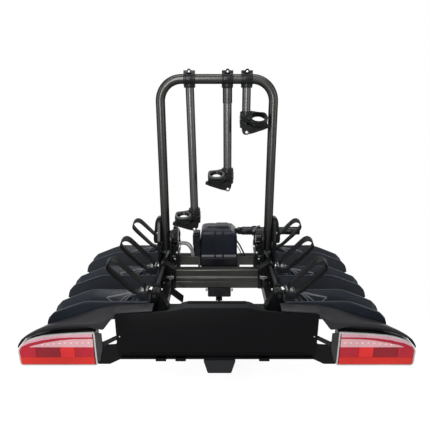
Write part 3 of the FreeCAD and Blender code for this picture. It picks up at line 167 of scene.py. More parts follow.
# %% [markdown]
# The backdrop is white to the camera, in reflections and through clear plastic. As a source of
# light it is weak, so that the lamps shape the carrier.

# %% White backdrop
WHITE = (1, 1, 1, 1)
BACKDROP_LIGHT = 0.16
scene.world = bpy.data.worlds.new("studio")
scene.world.use_nodes = True
tree = scene.world.node_tree
tree.nodes.clear()
lit = node(tree, "Background", {"Color": WHITE, "Strength": BACKDROP_LIGHT})
seen = node(tree, "Background", {"Color": WHITE, "Strength": 1})
rays = any_ray(tree, "Is Camera Ray", "Is Glossy Ray", "Is Transmission Ray")
backdrop = node(tree, "MixShader", {0: rays, 1: lit.outputs[0], 2: seen.outputs[0]})
node(tree, "OutputWorld", {"Surface": backdrop.outputs[0]})
print("backdrop nodes:", len(tree.nodes))

# %% [markdown]
# ## Finishes
# Almost every surface is a dark one, and they differ in gloss and grain: satin moulded plastic,
# glossy castings, powder coat, brushed aluminium, rubber and zinc. One helper builds them all from
# noise on Object coordinates, so a finish has a fine bump, a gloss that is not even, and a colour
# that drifts a little. The sheen is how strongly it mirrors face on, and the rim how bright that
# gets at a grazing angle.

# %% A helper for finishes
GRAIN_DEPTH = 0.0006
GLOSS_SPREAD = 0.08


def finish(name, colour, rough, metal=0, grain=900, bump=0.08, drift=0.12,
           stretch=(1, 1, 1), coat=0, sheen=0.15, rim=1):
    """A procedural finish: fine grain in the bump, slow drift in colour and gloss."""
    material = bpy.data.materials.new(name)
    material.use_nodes = True
    tree = material.node_tree
    where = node(tree, "TexCoord").outputs["Object"]
    place = node(tree, "Mapping", {"Vector": where, "Scale": stretch}).outputs[0]
    fine = node(tree, "TexNoise", {"Vector": place, "Scale": grain, "Detail": 3}).outputs["Fac"]
    slow = node(tree, "TexNoise", {"Vector": where, "Scale": 9, "Detail": 4}).outputs["Fac"]
    raised = node(tree, "Bump", {"Strength": bump, "Distance": GRAIN_DEPTH, "Height": fine})
    gloss = node(tree, "MapRange", {"Value": fine, "To Min": max(0.02, rough - GLOSS_SPREAD),
                                    "To Max": min(1, rough + GLOSS_SPREAD)})
    tint = node(tree, "ValToRGB", {"Fac": slow})
    for stop, position, share in zip(tint.color_ramp.elements, (0.3, 0.7),
                                     (1 - drift, 1 + drift)):
        stop.position = position
        stop.color = (*[c * share for c in colour], 1)
    feed(tree, tree.nodes["Principled BSDF"], {
        "Base Color": tint.outputs["Color"], "Roughness": gloss.outputs["Result"],
        "Normal": raised.outputs[0], "Metallic": metal, "Coat Weight": coat,
        "Coat Roughness": 0.25, "Specular IOR Level": sheen,
        "Specular Tint": (rim, rim, rim, 1)})
    return material


print("finish helper ready")

# %% [markdown]
# The frame tubes are powder coated: a fine orange peel over graphite. The arms are a lighter
# gunmetal. The crossbars are anodised extrusions, with die lines that run along them, so their
# grain is stretched along x.

# %% Metal finishes
frame_paint = finish("frame_paint_graphite", (0.044, 0.044, 0.042), 0.29, 0.9, 700, 0.08, 0.1,
                     sheen=0.05, rim=0.1)
arm_paint = finish("arm_paint_gunmetal", (0.072, 0.073, 0.072), 0.3, 0.9, 700, 0.08, 0.1,
                   sheen=0.05, rim=0.1)
graphite = finish("graphite_extrusion", (0.048, 0.049, 0.045), 0.36, 0.8, 260, 0.16, 0.14,
                  (0.02, 1, 1), sheen=0.05, rim=0.3)
rail_paint = finish("rail_black_paint", (0.003, 0.003, 0.0036), 0.38, 0, 700, 0.1, 0.12,
                    sheen=0.08)
zinc = finish("zinc_bright", (0.5, 0.5, 0.49), 0.3, 0.9, 500, 0.1, 0.1, sheen=0.5)
zinc_dull = finish("zinc_dull", (0.3, 0.3, 0.295), 0.38, 0.8, 500, 0.14, 0.15)
pin_dark = finish("pin_dark_steel", (0.03, 0.03, 0.031), 0.36, 0.7, 500, 0.1, 0.1, sheen=0.1)
lever_paint = finish("lever_tube_satin", (0.03, 0.031, 0.033), 0.3, 0.8, 700, 0.08, 0.1,
                     sheen=0.05, rim=0.2)
print("metal finishes:", 8)

# %% [markdown]
# Moulded plastic has a spark-eroded grain, about half a millimetre across. Castings and clamp
# rings are smoother and glossier. The coupling's cover is a cold, slightly blue black.

# %% Plastic and rubber finishes
moulded = finish("moulded_black", (0.007, 0.0075, 0.009), 0.4, 0, 1400, 0.22, 0.15)
glossy = finish("cast_black_gloss", (0.005, 0.0055, 0.006), 0.28, 0, 600, 0.1, 0.15)
cover_plastic = finish("cover_blue_black", (0.008, 0.01, 0.016), 0.34, 0, 1400, 0.2, 0.15)
latch_black = finish("latch_black", (0.0035, 0.004, 0.004), 0.34, 0, 700, 0.15, 0.15,
                     sheen=0.12)
rubber = finish("strap_rubber", (0.0025, 0.0025, 0.003), 0.42, 0, 1100, 0.3, 0.12, sheen=0.12)
tray_plastic = finish("tray_satin", (0.013, 0.016, 0.022), 0.3, 0, 1400, 0.22, 0.15)
skirt_plastic = finish("skirt_satin", (0.0155, 0.015, 0.0175), 0.38, 0, 1400, 0.22, 0.12)
board_black = finish("board_black", (0.0016, 0.0017, 0.0021), 0.42, 0, 1500, 0.14, 0.1,
                     sheen=0.06)
# The crest's paler black is a painted highlight on the board's folded top edge.
board_crest_painted_highlight = finish("board_crest_painted_highlight", (0.006, 0.007, 0.008), 0.46, 0, 1500, 0.14, 0.1,
                     sheen=0.08)
lead_grey = finish("lead_grey", (0.22, 0.22, 0.225), 0.45, 0, 1200, 0.12, 0.08)
lip_rubber = finish("lip_rubber_grey", (0.075, 0.078, 0.075), 0.44, 0, 900, 0.25, 0.15)
ledge_plastic = finish("ledge_pale", (0.085, 0.085, 0.095), 0.34, 0, 900, 0.15, 0.12)
hood_plastic = finish("hood_satin", (0.03, 0.032, 0.032), 0.42, 0, 1400, 0.25, 0.15)
# The trough ribs are far paler than the tray: a painted highlight.
rib_painted_highlight = finish("rib_satin_painted_highlight", (0.12, 0.125, 0.135), 0.3, 0, 1200, 0.2, 0.15)
# Near-black and rough: painted shade, laid in the cover's grooves and hand slot.
painted_shade_black = finish("painted_shade_black", (0.003, 0.003, 0.003), 0.6, 0, 900, 0.1, 0.1)
apron_black = finish("apron_black", (0.008, 0.008, 0.011), 0.34, 0, 1200, 0.2, 0.15)
print("plastic finishes:", 16)

# %% [markdown]
# ## Small tools for shaping
# Four helpers do most of the modelling. A slab is a flat outline with rounded corners, extruded
# along y, or along x when it is a bar.
# A lathe spins a profile about an axis. A loft extrudes one cross-section from station to station
# and sets each ring on its own section. And pieces can be joined into one mesh.

# %% Slab, lathe, loft and join


def spot(plane, a, b, depth):
    """A point of a plane: its two measures, and how deep it lies."""
    return Vector({"xz": (a, depth, b), "yz": (depth, a, b)}[plane])


def box(a0, a1, b0, b1):
    """The corners of a rectangle."""
    return [(a0, b0), (a1, b0), (a1, b1), (a0, b1)]


def verts_of(made):
    """The vertices among the parts that an operator made."""
    return [v for v in made["geom"] if isinstance(v, bmesh.types.BMVert)]


def square_to_x(x, points):
    """A section square to x, from (y, z) points."""
    return [Vector((x, y, z)) for y, z in points]


def slab(corners, start, end, rounds=0, steps=4, plane="xz"):
    """A flat plate: an outline with rounded corners, extruded from start to end."""
    bm = bmesh.new()
    verts = [bm.verts.new(spot(plane, a, b, start)) for a, b in corners]
    bm.faces.new(verts)
    sizes = rounds if isinstance(rounds, tuple) else (rounds,) * len(verts)
    for vert, size in zip(verts, sizes):
        if size:
            bmesh.ops.bevel(bm, geom=[vert], offset=size, offset_type="OFFSET", segments=steps,
                            profile=0.5, affect="VERTICES", material=-1)
    made = bmesh.ops.extrude_face_region(bm, geom=bm.faces[:])
    bmesh.ops.translate(bm, verts=verts_of(made), vec=spot(plane, 0, 0, end - start))
    bmesh.ops.recalc_face_normals(bm, faces=bm.faces)
    return bm


def bar(corners, start, end):
    """A slab along x: its outline is in (y, z)."""
    return slab(corners, start, end, plane="yz")


def lathe(profile, origin, axis, steps):
    """A turned shape: (radius, height) points spun about an axis through the origin."""
    bm = bmesh.new()
    way = Vector(axis).normalized()
    side = way.orthogonal().normalized()
    verts = [bm.verts.new(Vector(origin) + side * r + way * h) for r, h in profile]
    edges = [bm.edges.new(pair) for pair in zip(verts, verts[1:])]
    bmesh.ops.spin(bm, geom=verts + edges, cent=origin, axis=way, angle=math.tau, steps=steps,
                   use_merge=True)
    bmesh.ops.remove_doubles(bm, verts=bm.verts, dist=0.02)
    bmesh.ops.recalc_face_normals(bm, faces=bm.faces)
    return bm


def loft(sections, caps=True):
    """Extrude a cross-section from station to station, each ring set on its own section."""
    bm = bmesh.new()
    ring = [bm.verts.new(p) for p in sections[0]]
    pairs = [(i, (i + 1) % len(ring)) for i in range(len(ring))]
    edges = [bm.edges.new((ring[i], ring[j])) for i, j in pairs]
    first = ring
    for section in sections[1:]:
        made = bmesh.ops.extrude_edge_only(bm, edges=edges)
        fresh = {tuple(v.co): v for v in verts_of(made)}
        ring = [fresh[tuple(v.co)] for v in ring]
        edges = [bm.edges.get((ring[i], ring[j])) for i, j in pairs]
        for vert, place in zip(ring, section):
            vert.co = place
    if caps:
        bm.faces.new(first)
        bm.faces.new(ring)
    bmesh.ops.recalc_face_normals(bm, faces=bm.faces)
    return bm


def join(*meshes):
    """Several bmeshes as one."""
    whole = meshes[0]
    for other in meshes[1:]:
        carrier = bpy.data.meshes.new("carrier")
        other.to_mesh(carrier)
        whole.from_mesh(carrier)
        bpy.data.meshes.remove(carrier)
        other.free()
    return whole


def turned_over(bm):
    """A copy for the other hand, mirrored in x."""
    copy = bm.copy()
    bmesh.ops.scale(copy, verts=copy.verts, vec=(-1, 1, 1))
    bmesh.ops.reverse_faces(copy, faces=copy.faces)
    return copy


print("shaping tools ready")

# %% [markdown]
# A finished mesh is moved from the working frame to the scene and becomes an object with its
# finish, under the body it rides on; the CAD parts it replaces are hidden. Smooth shading stops at
# edges sharper than 32 degrees, and a narrow bevel gives those edges the thin highlight of a real
# rim.
# Most pieces come in pairs. They are modelled for the right, and turned over for the left.

# %% From mesh to piece
SHARP = 32
WELD = 0.00001


def soften(thing, width, angle=SHARP, segments=2):
    """Put a narrow bevel on the sharp edges."""
    bevel = thing.modifiers.new("edge", "BEVEL")
    bevel.width = width / 1000
    bevel.segments = segments
    bevel.limit_method = "ANGLE"
    bevel.angle_limit = math.radians(angle)
    bevel.use_clamp_overlap = True


def piece(name, bm, finishes, body, slot, replaces=(), edge=0, angle=SHARP, segments=2):
    """Make the object, in metres from the towball, under its body, and hide the CAD parts it
    replaces.
    """
    bmesh.ops.translate(bm, verts=bm.verts, vec=-DATUM)
    bmesh.ops.scale(bm, verts=bm.verts, vec=(0.001, 0.001, 0.001))
    mesh = bpy.data.meshes.new(name)
    bm.to_mesh(mesh)
    bm.free()
    for material in finishes if isinstance(finishes, tuple) else (finishes,):
        mesh.materials.append(material)
    for polygon in mesh.polygons:
        polygon.use_smooth = True
    mesh.set_sharp_from_angle(angle=math.radians(angle))
    thing = bpy.data.objects.new(name, mesh)
    scene.collection.objects.link(thing)
    if edge:
        soften(thing, edge, angle, segments)
    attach(thing, body)
    if replaces:
        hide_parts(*replaces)


def one_hand(hand, name, right, finishes, replaces="", body="wing_{}", slot="black_plastic",
             **looks):
    """One hand's piece, from the right one's shape. A {} in the names stands for the hand."""
    bm = right.copy() if hand == "right" else turned_over(right)
    nodes_replaced = [replaces.format(hand)] if replaces else ()
    piece(name.format(hand), bm, finishes, body.format(hand), slot, nodes_replaced, **looks)


def both(*shape, **looks):
    """A piece for each hand."""
    for hand in ("left", "right"):
        one_hand(hand, *shape, **looks)


def coat_node(node, material, edge=0):
    """Give a CAD part its finish and, where its edges are sharp, a narrow bevel."""
    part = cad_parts[node]
    for slot_of_part in part.material_slots:
        slot_of_part.material = material
    if edge:
        part.modifiers.new("weld", "WELD").merge_threshold = WELD
        soften(part, edge)


print("pieces can be made")

# %% [markdown]
# ## Carried-over CAD parts
# Plain bars, tubes, castings and pins are already right in shape. They need only their finish and
# softened edges.

# %% Finishes of the CAD parts
COATS = (
    (graphite, 0.8, ("crossbar_front", "crossbar_middle", "crossbar_rear", "main_beam")),
    (rail_paint, 0.8, ("side_rails", "board_brackets", "wing_rail_right", "wing_rail_left")),
    (glossy, 1, ("hinge_yoke", "hinge_castings", "upright_brackets", "coupling_housing",
                   "ball_cup", "clamp_jaw", "lock_knob_right", "lock_knob_left",
                   "arm_clamp_1", "arm_clamp_2", "arm_clamp_3")),
    (moulded, 1, ("beam_cap", "foot_pedal")),
    (moulded, 0.8, ("strap_buckles_right", "strap_buckles_left")),
    (pin_dark, 0.5, ("platform_fasteners", "release_rod")),
    (lever_paint, 0.5, ("coupling_lever",)),
    (frame_paint, 0, ("u_frame",)),
    (arm_paint, 0, ("arm_tube_1", "arm_tube_2", "arm_tube_3")),
    (moulded, 0.5, [f"buckle_lever_{row}_{hand}" for hand in HANDS for row in ROWS]))
for material, edge, names in COATS:
    for name in names:
        coat_node(name, material, edge)
print("CAD parts coated:", sum(len(names) for material, edge, names in COATS))

# %% [markdown]
# ## Wheel trays
# Each tray is a deep moulded trough for a bicycle's wheel. Its walls lean out by 7 mm in 109 of
# height, its rim is rolled into a small bead, and at the outer end both walls fall away and close
# in a rounded nose. A loft suits it: the same cross-section at every station, with the height of
# its rim, trough and underside read from three curves.

# %% The tray's curves
TRAY_RIM = (
    (207, 190), (209, 195), (214, 197), (260, 197), (340, 198), (385, 198.5), (403, 196),
    (430, 187), (455, 177), (480, 167), (499, 159), (508, 150), (517, 140), (522, 129), (526, 114))
TRAY_TROUGH = ((207, 188), (250, 188), (305, 138), (366, 132), (430, 123), (470, 116),
               (495, 110), (506, 113), (514, 118), (521, 115), (526, 111))
TRAY_BELOW = ((207, 153), (210, 150), (240, 150), (300, 132), (366, 129), (430, 119),
              (470, 112.5), (490, 107), (503, 103), (513, 102), (519, 103), (523, 106), (526, 109))
TRAY_STATIONS = (207, 209, 214, 230, 240, 249, 251, 262, 290, 318, 330, 342, 366, 385, 394, 403,
                 415, 430, 440, 455, 468, 480, 490, 499, 504, 508, 513, 517, 520, 522, 524, 526)
DECK_START, DECK_END = 207, 250
FLOOR_HALF, DECK_EXTRA = 9, 22
WALL_LOW, WALL_HALF = 88, 33
LEAN_OUT, LEAN_TALL = 7, 109


def along(knots, x):
    """Read a curve given by its knots."""
    for (x0, z0), (x1, z1) in zip(knots, knots[1:]):
        if x <= x1:
            return z0 + (z1 - z0) * (x - x0) / (x1 - x0)
    return knots[-1][1]


def wall_half(z):
    """Half the tray's outer width at a height."""
    return WALL_HALF + LEAN_OUT * (z - WALL_LOW) / LEAN_TALL


def tray_section(x):
    """Half the tray's section, from the middle of its underside round the rim to the trough."""
    rim, trough, below = (along(c, x) for c in (TRAY_RIM, TRAY_TROUGH, TRAY_BELOW))
    half, foot = wall_half(rim), wall_half(below)
    bead = min(1, (rim - below) / 16)
    deep = min(rim - 1.6 * bead, trough)
    width = FLOOR_HALF + DECK_EXTRA * max(0, (DECK_END - x) / (DECK_END - DECK_START))
    ledge = rim - 5.5 * bead - (rim - deep) * 0.42
    shelf = max(width + 1, half - 7 - 0.62 * (rim - 5 * bead - ledge))
    return [(foot - 12, below), (foot - 3, below + 0.6), (foot, below + 3.5 * bead),
            (half - 0.6, rim - 8 * bead), (half, rim - 6 * bead), (half, rim - 1.8 * bead),
            (half - 1.6, rim), (half - 4.4, rim), (half - 5.8, rim - 1.4 * bead),
            (half - 7, rim - min(5 * bead, (rim - deep) * 0.3)), (shelf, ledge),
            (width, deep + 0.8 * bead), (width - 5, deep)]


def wheel_tray(row_y):
    """The tray of one row, on the right hand side."""
    sections = []
    for x in TRAY_STATIONS:
        half = tray_section(x)
        sections.append(square_to_x(x, [(row_y - y, z) for y, z in half]
                                    + [(row_y + y, z) for y, z in reversed(half)]))
    return loft(sections)


for row, row_y in ROWS.items():
    tray = wheel_tray(row_y)
    for hand in HANDS:
        one_hand(hand, f"moulded_tray_{row}_{{}}", tray, tray_plastic, f"wheel_tray_{row}_{{}}",
                 angle=24)
print("trays:", 6)

# %% [markdown]
# Each trough is stiffened near the deck by four thin ribs that fan out from one corner of its far
# wall. Each runs along the wall in four steps. Their pale colour is a painted highlight.

# %% Trough ribs
RIB_RUNS = (((262, 0.05), (322, 0.62)), ((262, 0.05), (306, 0.9)), ((262, 0.05), (352, 0.3)),
            ((352, 0.3), (322, 0.62)))
RIB_SECTION = ((0, 1.5, -2.2), (0, -4.2, -1.8), (0, -3.6, 2), (0, 1.5, 2.6))
RIM_FOOT, WALL_FOOT = 9, 11
RIB_STEPS = 4


def wall_spot(row_y, x, share):
    """A point on the trough's far wall: share 0 at the rim's foot, 1 at the floor."""
    half = tray_section(x)
    upper, lower = half[RIM_FOOT], half[WALL_FOOT]
    y = upper[0] + (lower[0] - upper[0]) * share
    z = upper[1] + (lower[1] - upper[1]) * share
    return Vector((x, row_y + y - 1.2, z + 0.8))


def wall_rib(row_y, start, end):
    """A rib along the far wall, from one place on it to another."""
    sections = []
    for step in range(RIB_STEPS + 1):
        t = step / RIB_STEPS
        here = wall_spot(row_y, start[0] + (end[0] - start[0]) * t,
                         start[1] + (end[1] - start[1]) * t)
        sections.append([here + Vector(v) for v in RIB_SECTION])
    return loft(sections)


for row, row_y in ROWS.items():
    fan = join(*[wall_rib(row_y, start, end) for start, end in RIB_RUNS])
    both(f"trough_ribs_{row}_{{}}", fan, rib_painted_highlight, edge=0.5)
print("rib fans:", 6)

# %% [markdown]
# ## Wing skirts
# Behind the last tray a thin skirt falls back to the lamp, like the edge of a mudguard. It is
# sheet moulding: a rounded front edge, a slightly crowned slope and an open underside. It is
# lofted outwards through stations that give x, the height and thickness of its front edge, and
# the height of its back edge. A web below it closes the space over the lamp.

# %% The skirt
SKIRT = (
    (190, 192, 4.6, 194.5), (240, 189, 4.8, 192), (290, 186, 5, 189.5), (302.3, 182.5, 3.6, 188.5),
    (308, 177, 12, 187.5), (319, 167, 15, 185), (337, 155, 27, 181), (342, 153, 28, 180),
    (364, 149.5, 21, 174.5), (390, 148.5, 11, 166), (417, 148, 11, 157), (436, 147, 11, 150),
    (465, 145, 11, 141), (483, 142.5, 11, 137), (500, 139, 11, 133), (517, 134, 10.5, 126.5),
    (532, 128, 10, 119), (547, 121, 9.5, 112.5), (561, 113, 9, 105), (571, 107, 8.5, 99.5),
    (580, 100, 8, 94), (588, 93, 7.5, 88), (594, 85, 7, 81), (599, 77, 6, 74.5),
    (602.5, 69, 5, 68))
SKIRT_BACK = (
    (465, -341), (483, -346), (500, -350), (517, -351), (532, -352), (547, -353.5), (561, -355),
    (571, -357), (580, -360), (588, -363), (594, -366), (599, -369), (602.5, -372))
WEB_START = 342
WEB_FOOT = ((266, 118.8), (366, 118.8), (480, 112.8), (540, 103.8), (580, 87.8), (605, 58.8))


def skirt_back(x):
    """How far back the skirt reaches."""
    return along(SKIRT_BACK, max(x, SKIRT_BACK[0][0]))


def skirt_section(x, z, tall, back_z):
    """Rounded front edge, crowned slope, thin back edge and the underside."""
    back_y = skirt_back(x)
    run, rise = back_y - BOARD_FACE, back_z - z
    edge = min(3.2, tall * 0.55)
    crown = min(1.4, abs(run) * 0.04)
    points = [(BOARD_FACE + 1.5, z - tall), (BOARD_FACE, z - tall + 1.5), (BOARD_FACE, z - edge),
              (BOARD_FACE + edge * 0.3, z - edge * 0.3)]
    for t in (0, 0.25, 0.5, 0.75, 1):
        reach = edge + (run - edge) * t
        points.append((BOARD_FACE + reach, z + rise * reach / run + crown * math.sin(math.pi * t)))
    points += [(back_y, back_z - 3), (BOARD_FACE + 5, z - min(tall * 0.6, 4.5)),
               (BOARD_FACE + 4, z - tall)]
    return square_to_x(x, points)


def web_section(x, z, back_z):
    """The web under one station of the skirt."""
    back_y = skirt_back(x)
    y = min(back_y - 3, BOARD_FACE + 26)
    top = z + (back_z - z) * (y - BOARD_FACE) / (back_y - BOARD_FACE) - 2
    low = along(WEB_FOOT, x)
    return square_to_x(x, box(y - 3, y, low, top))


web = loft([web_section(x, z, back_z) for x, z, tall, back_z in SKIRT if x >= WEB_START])
foot = slab(box(207, 223, 150.3, 186), -369.5, -357.5, 2)
skirt = join(loft([skirt_section(*station) for station in SKIRT]), web, foot)
both("skirt_{}", skirt, skirt_plastic, "wing_cover_{}", angle=28)
print("skirts:", 2)

# %% [markdown]
# A flat black bar stays each lamp to the deck. Its inner end shows in the gap between the lamp and
# the number board.

# %% Lamp stays
stay = slab([(302, 88), (302, 99.5), (306, 100.5), (352, 76), (352, 64), (347, 63)],
            BOARD_FACE + 4.9, BOARD_FACE + 8.9)
both("lamp_stay_{}", stay, moulded, edge=0.6)
print("lamp stays:", 2)

# %% [markdown]
# ## Rear lamps
# A lens is clear plastic over a field of small prisms. It glows a little, as it does when light
# comes back from the reflector behind it. Its prisms are ridges in the bump.

# %% Lamp finishes


def lens_finish(name, colour, glow, prisms, turn):
    """Clear plastic over a field of small prisms."""
    material = finish(name, colour, 0.2, 0, 160, 0.05, 0.14, coat=0.15)
    tree = material.node_tree
    shader = tree.nodes["Principled BSDF"]
    where = node(tree, "TexCoord").outputs["Object"]
    place = node(tree, "Mapping", {"Vector": where, "Rotation": (0, math.radians(turn), 0)})
    rows = node(tree, "TexWave", {"Vector": place.outputs[0], "Scale": prisms},
                bands_direction="X")
    grain = shader.inputs["Normal"].links[0].from_socket
    ridges = node(tree, "Bump", {"Strength": 0.35, "Distance": 0.0008, "Normal": grain,
                                 "Height": rows.outputs["Fac"]})
    feed(tree, shader, {"Emission Color": (*colour, 1), "Emission Strength": glow,
                        "Normal": ridges.outputs[0]})
    return material


lens_pink = lens_finish("lens_clear_pink", (0.53, 0.27, 0.325), 0.09, 60, 0)
lens_led = lens_finish("lens_diode_field", (0.57, 0.31, 0.335), 0.09, 45, 45)
lens_crimson = lens_finish("lens_crimson", (0.34, 0.01, 0.022), 0.1, 90, 0)
lens_red = lens_finish("lens_bright_red", (0.55, 0.019, 0.019), 0.11, 90, 0)
lens_maroon = lens_finish("lens_maroon", (0.21, 0.006, 0.014), 0.08, 90, 0)
lens_orange = lens_finish("lens_orange_red", (0.48, 0.018, 0.012), 0.11, 70, 90)
lens_spark = lens_finish("lens_diode_domes", (0.66, 0.46, 0.47), 0.11, 60, 0)
border_white = finish("lamp_border_pale", (0.42, 0.41, 0.4), 0.24, 0, 500, 0.05, 0.1,
                      coat=0.3)
lamp_black = finish("lamp_body_black", (0.006, 0.006, 0.007), 0.3, 0, 900, 0.1, 0.12)
plate_lamp_grey = finish("plate_lamp_clear", (0.022, 0.022, 0.024), 0.16, 0, 240, 0.2, 0.6,
                         coat=0.15)
print("lamp finishes:", 10)

# %% [markdown]
# A lamp is a black body with a pale border round a shallow seat. An inset makes the border and an
# extrusion the seat. Its inner end is a clear window that lights the number plate.

# %% Lamp bodies
LAMP = ((366, 0), (598, 0), (604, 8), (604, 57), (580, 86), (540, 102), (480, 111), (366, 117))
LAMP_ROUNDS = (6, 5, 8, 10, 18, 24, 60, 6)
BORDER = 4.6
SEAT_DEPTH = 2.4
BORDER_DEPTH = 5


def lamp_body():
    """Black body with a pale border round a shallow seat for the lens."""
    bm = slab(LAMP, BOARD_FACE + 40, BOARD_FACE + 0.2, LAMP_ROUNDS, 6)
    front = min(bm.faces, key=lambda face: face.calc_center_median().y)
    for face in bmesh.ops.inset_region(bm, faces=[front], thickness=BORDER,
                                       use_even_offset=True)["faces"]:
        face.material_index = 1
    seat = verts_of(bmesh.ops.extrude_face_region(bm, geom=[front]))
    bmesh.ops.translate(bm, verts=seat, vec=(0, SEAT_DEPTH, 0))
    bmesh.ops.delete(bm, geom=[front], context="FACES_ONLY")
    bmesh.ops.bisect_plane(bm, geom=bm.verts[:] + bm.edges[:] + bm.faces[:],
                           plane_co=(0, BOARD_FACE + BORDER_DEPTH, 0), plane_no=(0, 1, 0))
    for face in bm.faces:
        centre = face.calc_center_median()
        side_wall = centre.y < BOARD_FACE + BORDER_DEPTH - 0.1 and abs(face.normal.y) < 0.5
        if side_wall and face.material_index == 0:
            outside = face.normal.dot(Vector((centre.x - 480, 0, centre.z - 50))) > 0
            face.material_index = 1 if outside else 0
    return bm


housing = lamp_body()
window = slab([(367, 14), (367, 112), (346, 112), (346, 62), (358, 14)], BOARD_FACE + 0.4,
              BOARD_FACE + 5.7, (0, 0, 3, 10, 3))
print("housing faces:", len(housing.faces))

# %% [markdown]
# The lens is moulded in bands: a clear pink one along the curved top, a clear one with
# light-emitting diodes, then crimson, bright red and maroon ones over an orange-red one. Each
# band is a slab of its own colour, proud of the lens by half a millimetre to a millimetre, so
# that the joints between them catch light as on a real lens. Housing, window and lens are then
# placed on each hand.

# %% Lens bands
BANDS = (
    ("lower", lens_orange, 0.9,
     ((373, 5.6), (594, 5.6), (598.4, 10), (598.4, 30.6), (373, 30.6))),
    ("crimson_in", lens_crimson, 0.6, box(373, 429.5, 31.6, 66.2)),
    ("bright", lens_red, 0.9, box(430.5, 474.5, 31.6, 66.2)),
    ("maroon", lens_maroon, 0.5, box(475.5, 547, 31.6, 66.2)),
    ("red_tip", lens_crimson, 0.7,
     ((548, 31.6), (598.4, 31.6), (598.4, 55), (592, 66.2), (548, 66.2))),
    ("diodes", lens_led, 0.9,
     ((373, 67.2), (566, 67.2), (556, 72), (518, 82), (472, 90.5), (430, 94.5), (373, 95.5))),
    ("line", lens_crimson, 0.4,
     ((373, 96.5), (430, 95.5), (472, 91.5), (518, 83), (556, 73), (568, 67.2), (591, 67.2),
      (566, 79), (520, 91), (480, 97), (440, 99.8), (373, 100.4))),
    ("top", lens_pink, 1,
     ((373, 101.4), (440, 100.8), (480, 98), (520, 92), (566, 80), (590, 68), (591, 70),
      (575, 83.4), (538, 97.2), (480, 105.6), (420, 109.6), (373, 111.6))))
DOME = ((0, 1.8), (1.7, 1.4), (2.7, 0.6), (3, 0), (0, 0))
LENS_FACE = BOARD_FACE - 1.2

diodes = join(*[lathe(DOME, (386 + run, BOARD_FACE - 2, 81.5 - 0.09 * max(0, run - 70)), BACK,
                      16) for run in (17.5 * step for step in range(9))])
for hand in HANDS:
    one_hand(hand, "lamp_body_{}", housing, (lamp_black, border_white), "light_housing_{}",
             slot="lamp_body", edge=0.7)
    one_hand(hand, "plate_lamp_{}", window, plate_lamp_grey, slot="lamp_body", edge=0.8)
    for band, material, proud, outline in BANDS:
        lens = slab(outline, BOARD_FACE + SEAT_DEPTH, LENS_FACE - proud, 0.8, 3)
        one_hand(hand, f"lens_{band}_{{}}", lens, material,
                 "light_lens_{}" if band == "lower" else "", slot="red_lens", edge=0.5)
    one_hand(hand, "lens_diodes_{}", diodes, lens_spark, slot="red_lens", angle=60)
print("lens bands:", 2 * len(BANDS))

# %% [markdown]
# ## Wheel straps
# Each strap is a soft plastic band that leaves a ratchet on the tray's deck, loops over the
# wheel's rim and comes back. Its lower run is a ladder, with a tooth every three millimetres. A
# band is a loft of one rounded rectangle along the loop. It leans a little sideways in the middle
# of the loop, as a slack strap does.

# %% Strap loops
STRAP_PATH = ((236, 209), (250, 209), (263, 214), (280, 231), (333, 286), (336, 300), (330, 313),
              (318, 320), (305, 317), (292, 305), (236, 246), (226, 234), (222, 222), (222, 214))
STRAP_STEP = 3
STRAP_HALF, STRAP_THICK, STRAP_SWAY = 12.5, 4, 0.35
STRAP_CORNER = STRAP_HALF - 1.4
TOOTH_HALF = 8
TEETH_FIRST, TEETH_SHORT = 6, 8


def rounded_line(name, points, resolution):
    """A curve that rounds the corners of a line through the points."""
    curve = bpy.data.curves.new(name, "CURVE")
    curve.dimensions = "3D"
    spline = curve.splines.new("NURBS")
    spline.points.add(len(points) - 1)
    for knot, place in zip(spline.points, points):
        knot.co = (*place, 1)
    spline.order_u = 3
    spline.use_endpoint_u = True
    curve.resolution_u = resolution
    return curve


def smooth_line(points):
    """Points every few millimetres along a rounded line."""
    curve = rounded_line("line", points, 14)
    carrier = bpy.data.objects.new("line", curve)
    mesh = bpy.data.meshes.new_from_object(carrier)
    line = [v.co.copy() for v in mesh.vertices]
    bpy.data.meshes.remove(mesh)
    bpy.data.objects.remove(carrier)
    bpy.data.curves.remove(curve)
    places, rest = [line[0]], 0
    for a, b in zip(line, line[1:]):
        run = (b - a).length
        while run and rest + run >= STRAP_STEP:
            a = a + (b - a) * ((STRAP_STEP - rest) / run)
            places.append(a)
            run, rest = (b - a).length, 0
        rest += run
    places.append(line[-1])
    return places


def outward(line, i):
    """The direction square to a line in its xz plane, at one of its points."""
    way = (line[min(i + 1, len(line) - 1)] - line[max(i - 1, 0)]).normalized()
    return Vector((way.z, 0, -way.x))


def strap_band(row_y):
    """A loop of band, and the teeth of its ladder run."""
    line = smooth_line([Vector((x, 0, z)) for x, z in STRAP_PATH])
    sections, teeth = [], []
    for i, here in enumerate(line):
        out = outward(line, i)
        lean = STRAP_SWAY * math.sin(math.pi * i / (len(line) - 1))

        def swayed(across, up):
            """A point of the band's section, shifted by its lean."""
            place = here + out * up
            return Vector((place.x, row_y + across, place.z + lean * across))

        sections.append([swayed(across, up * STRAP_THICK) for across, up in (
            (-STRAP_HALF, -0.28), (-STRAP_HALF, 0.28), (-STRAP_CORNER, 0.5), (STRAP_CORNER, 0.5),
            (STRAP_HALF, 0.28), (STRAP_HALF, -0.28), (STRAP_CORNER, -0.5), (-STRAP_CORNER, -0.5))])
        if TEETH_FIRST <= i < len(line) // 2 - TEETH_SHORT:
            low, tall = STRAP_THICK * 0.3, 3.6 if i % 2 else 2.4
            teeth.append([swayed(-TOOTH_HALF, low), swayed(-TOOTH_HALF, tall),
                          swayed(TOOTH_HALF, tall), swayed(TOOTH_HALF, low)])
    return join(loft(sections), loft(teeth))


both("strap_loops_{}", join(*[strap_band(row_y) for row_y in ROWS.values()]), rubber,
     "wheel_straps_{}", slot="strap_rubber", angle=40)
print("strap loops:", 6)

# %% [markdown]
# One strap's free end hangs out towards the middle of the carrier, past the left side rail. It is
# the same ladder band, cut square.

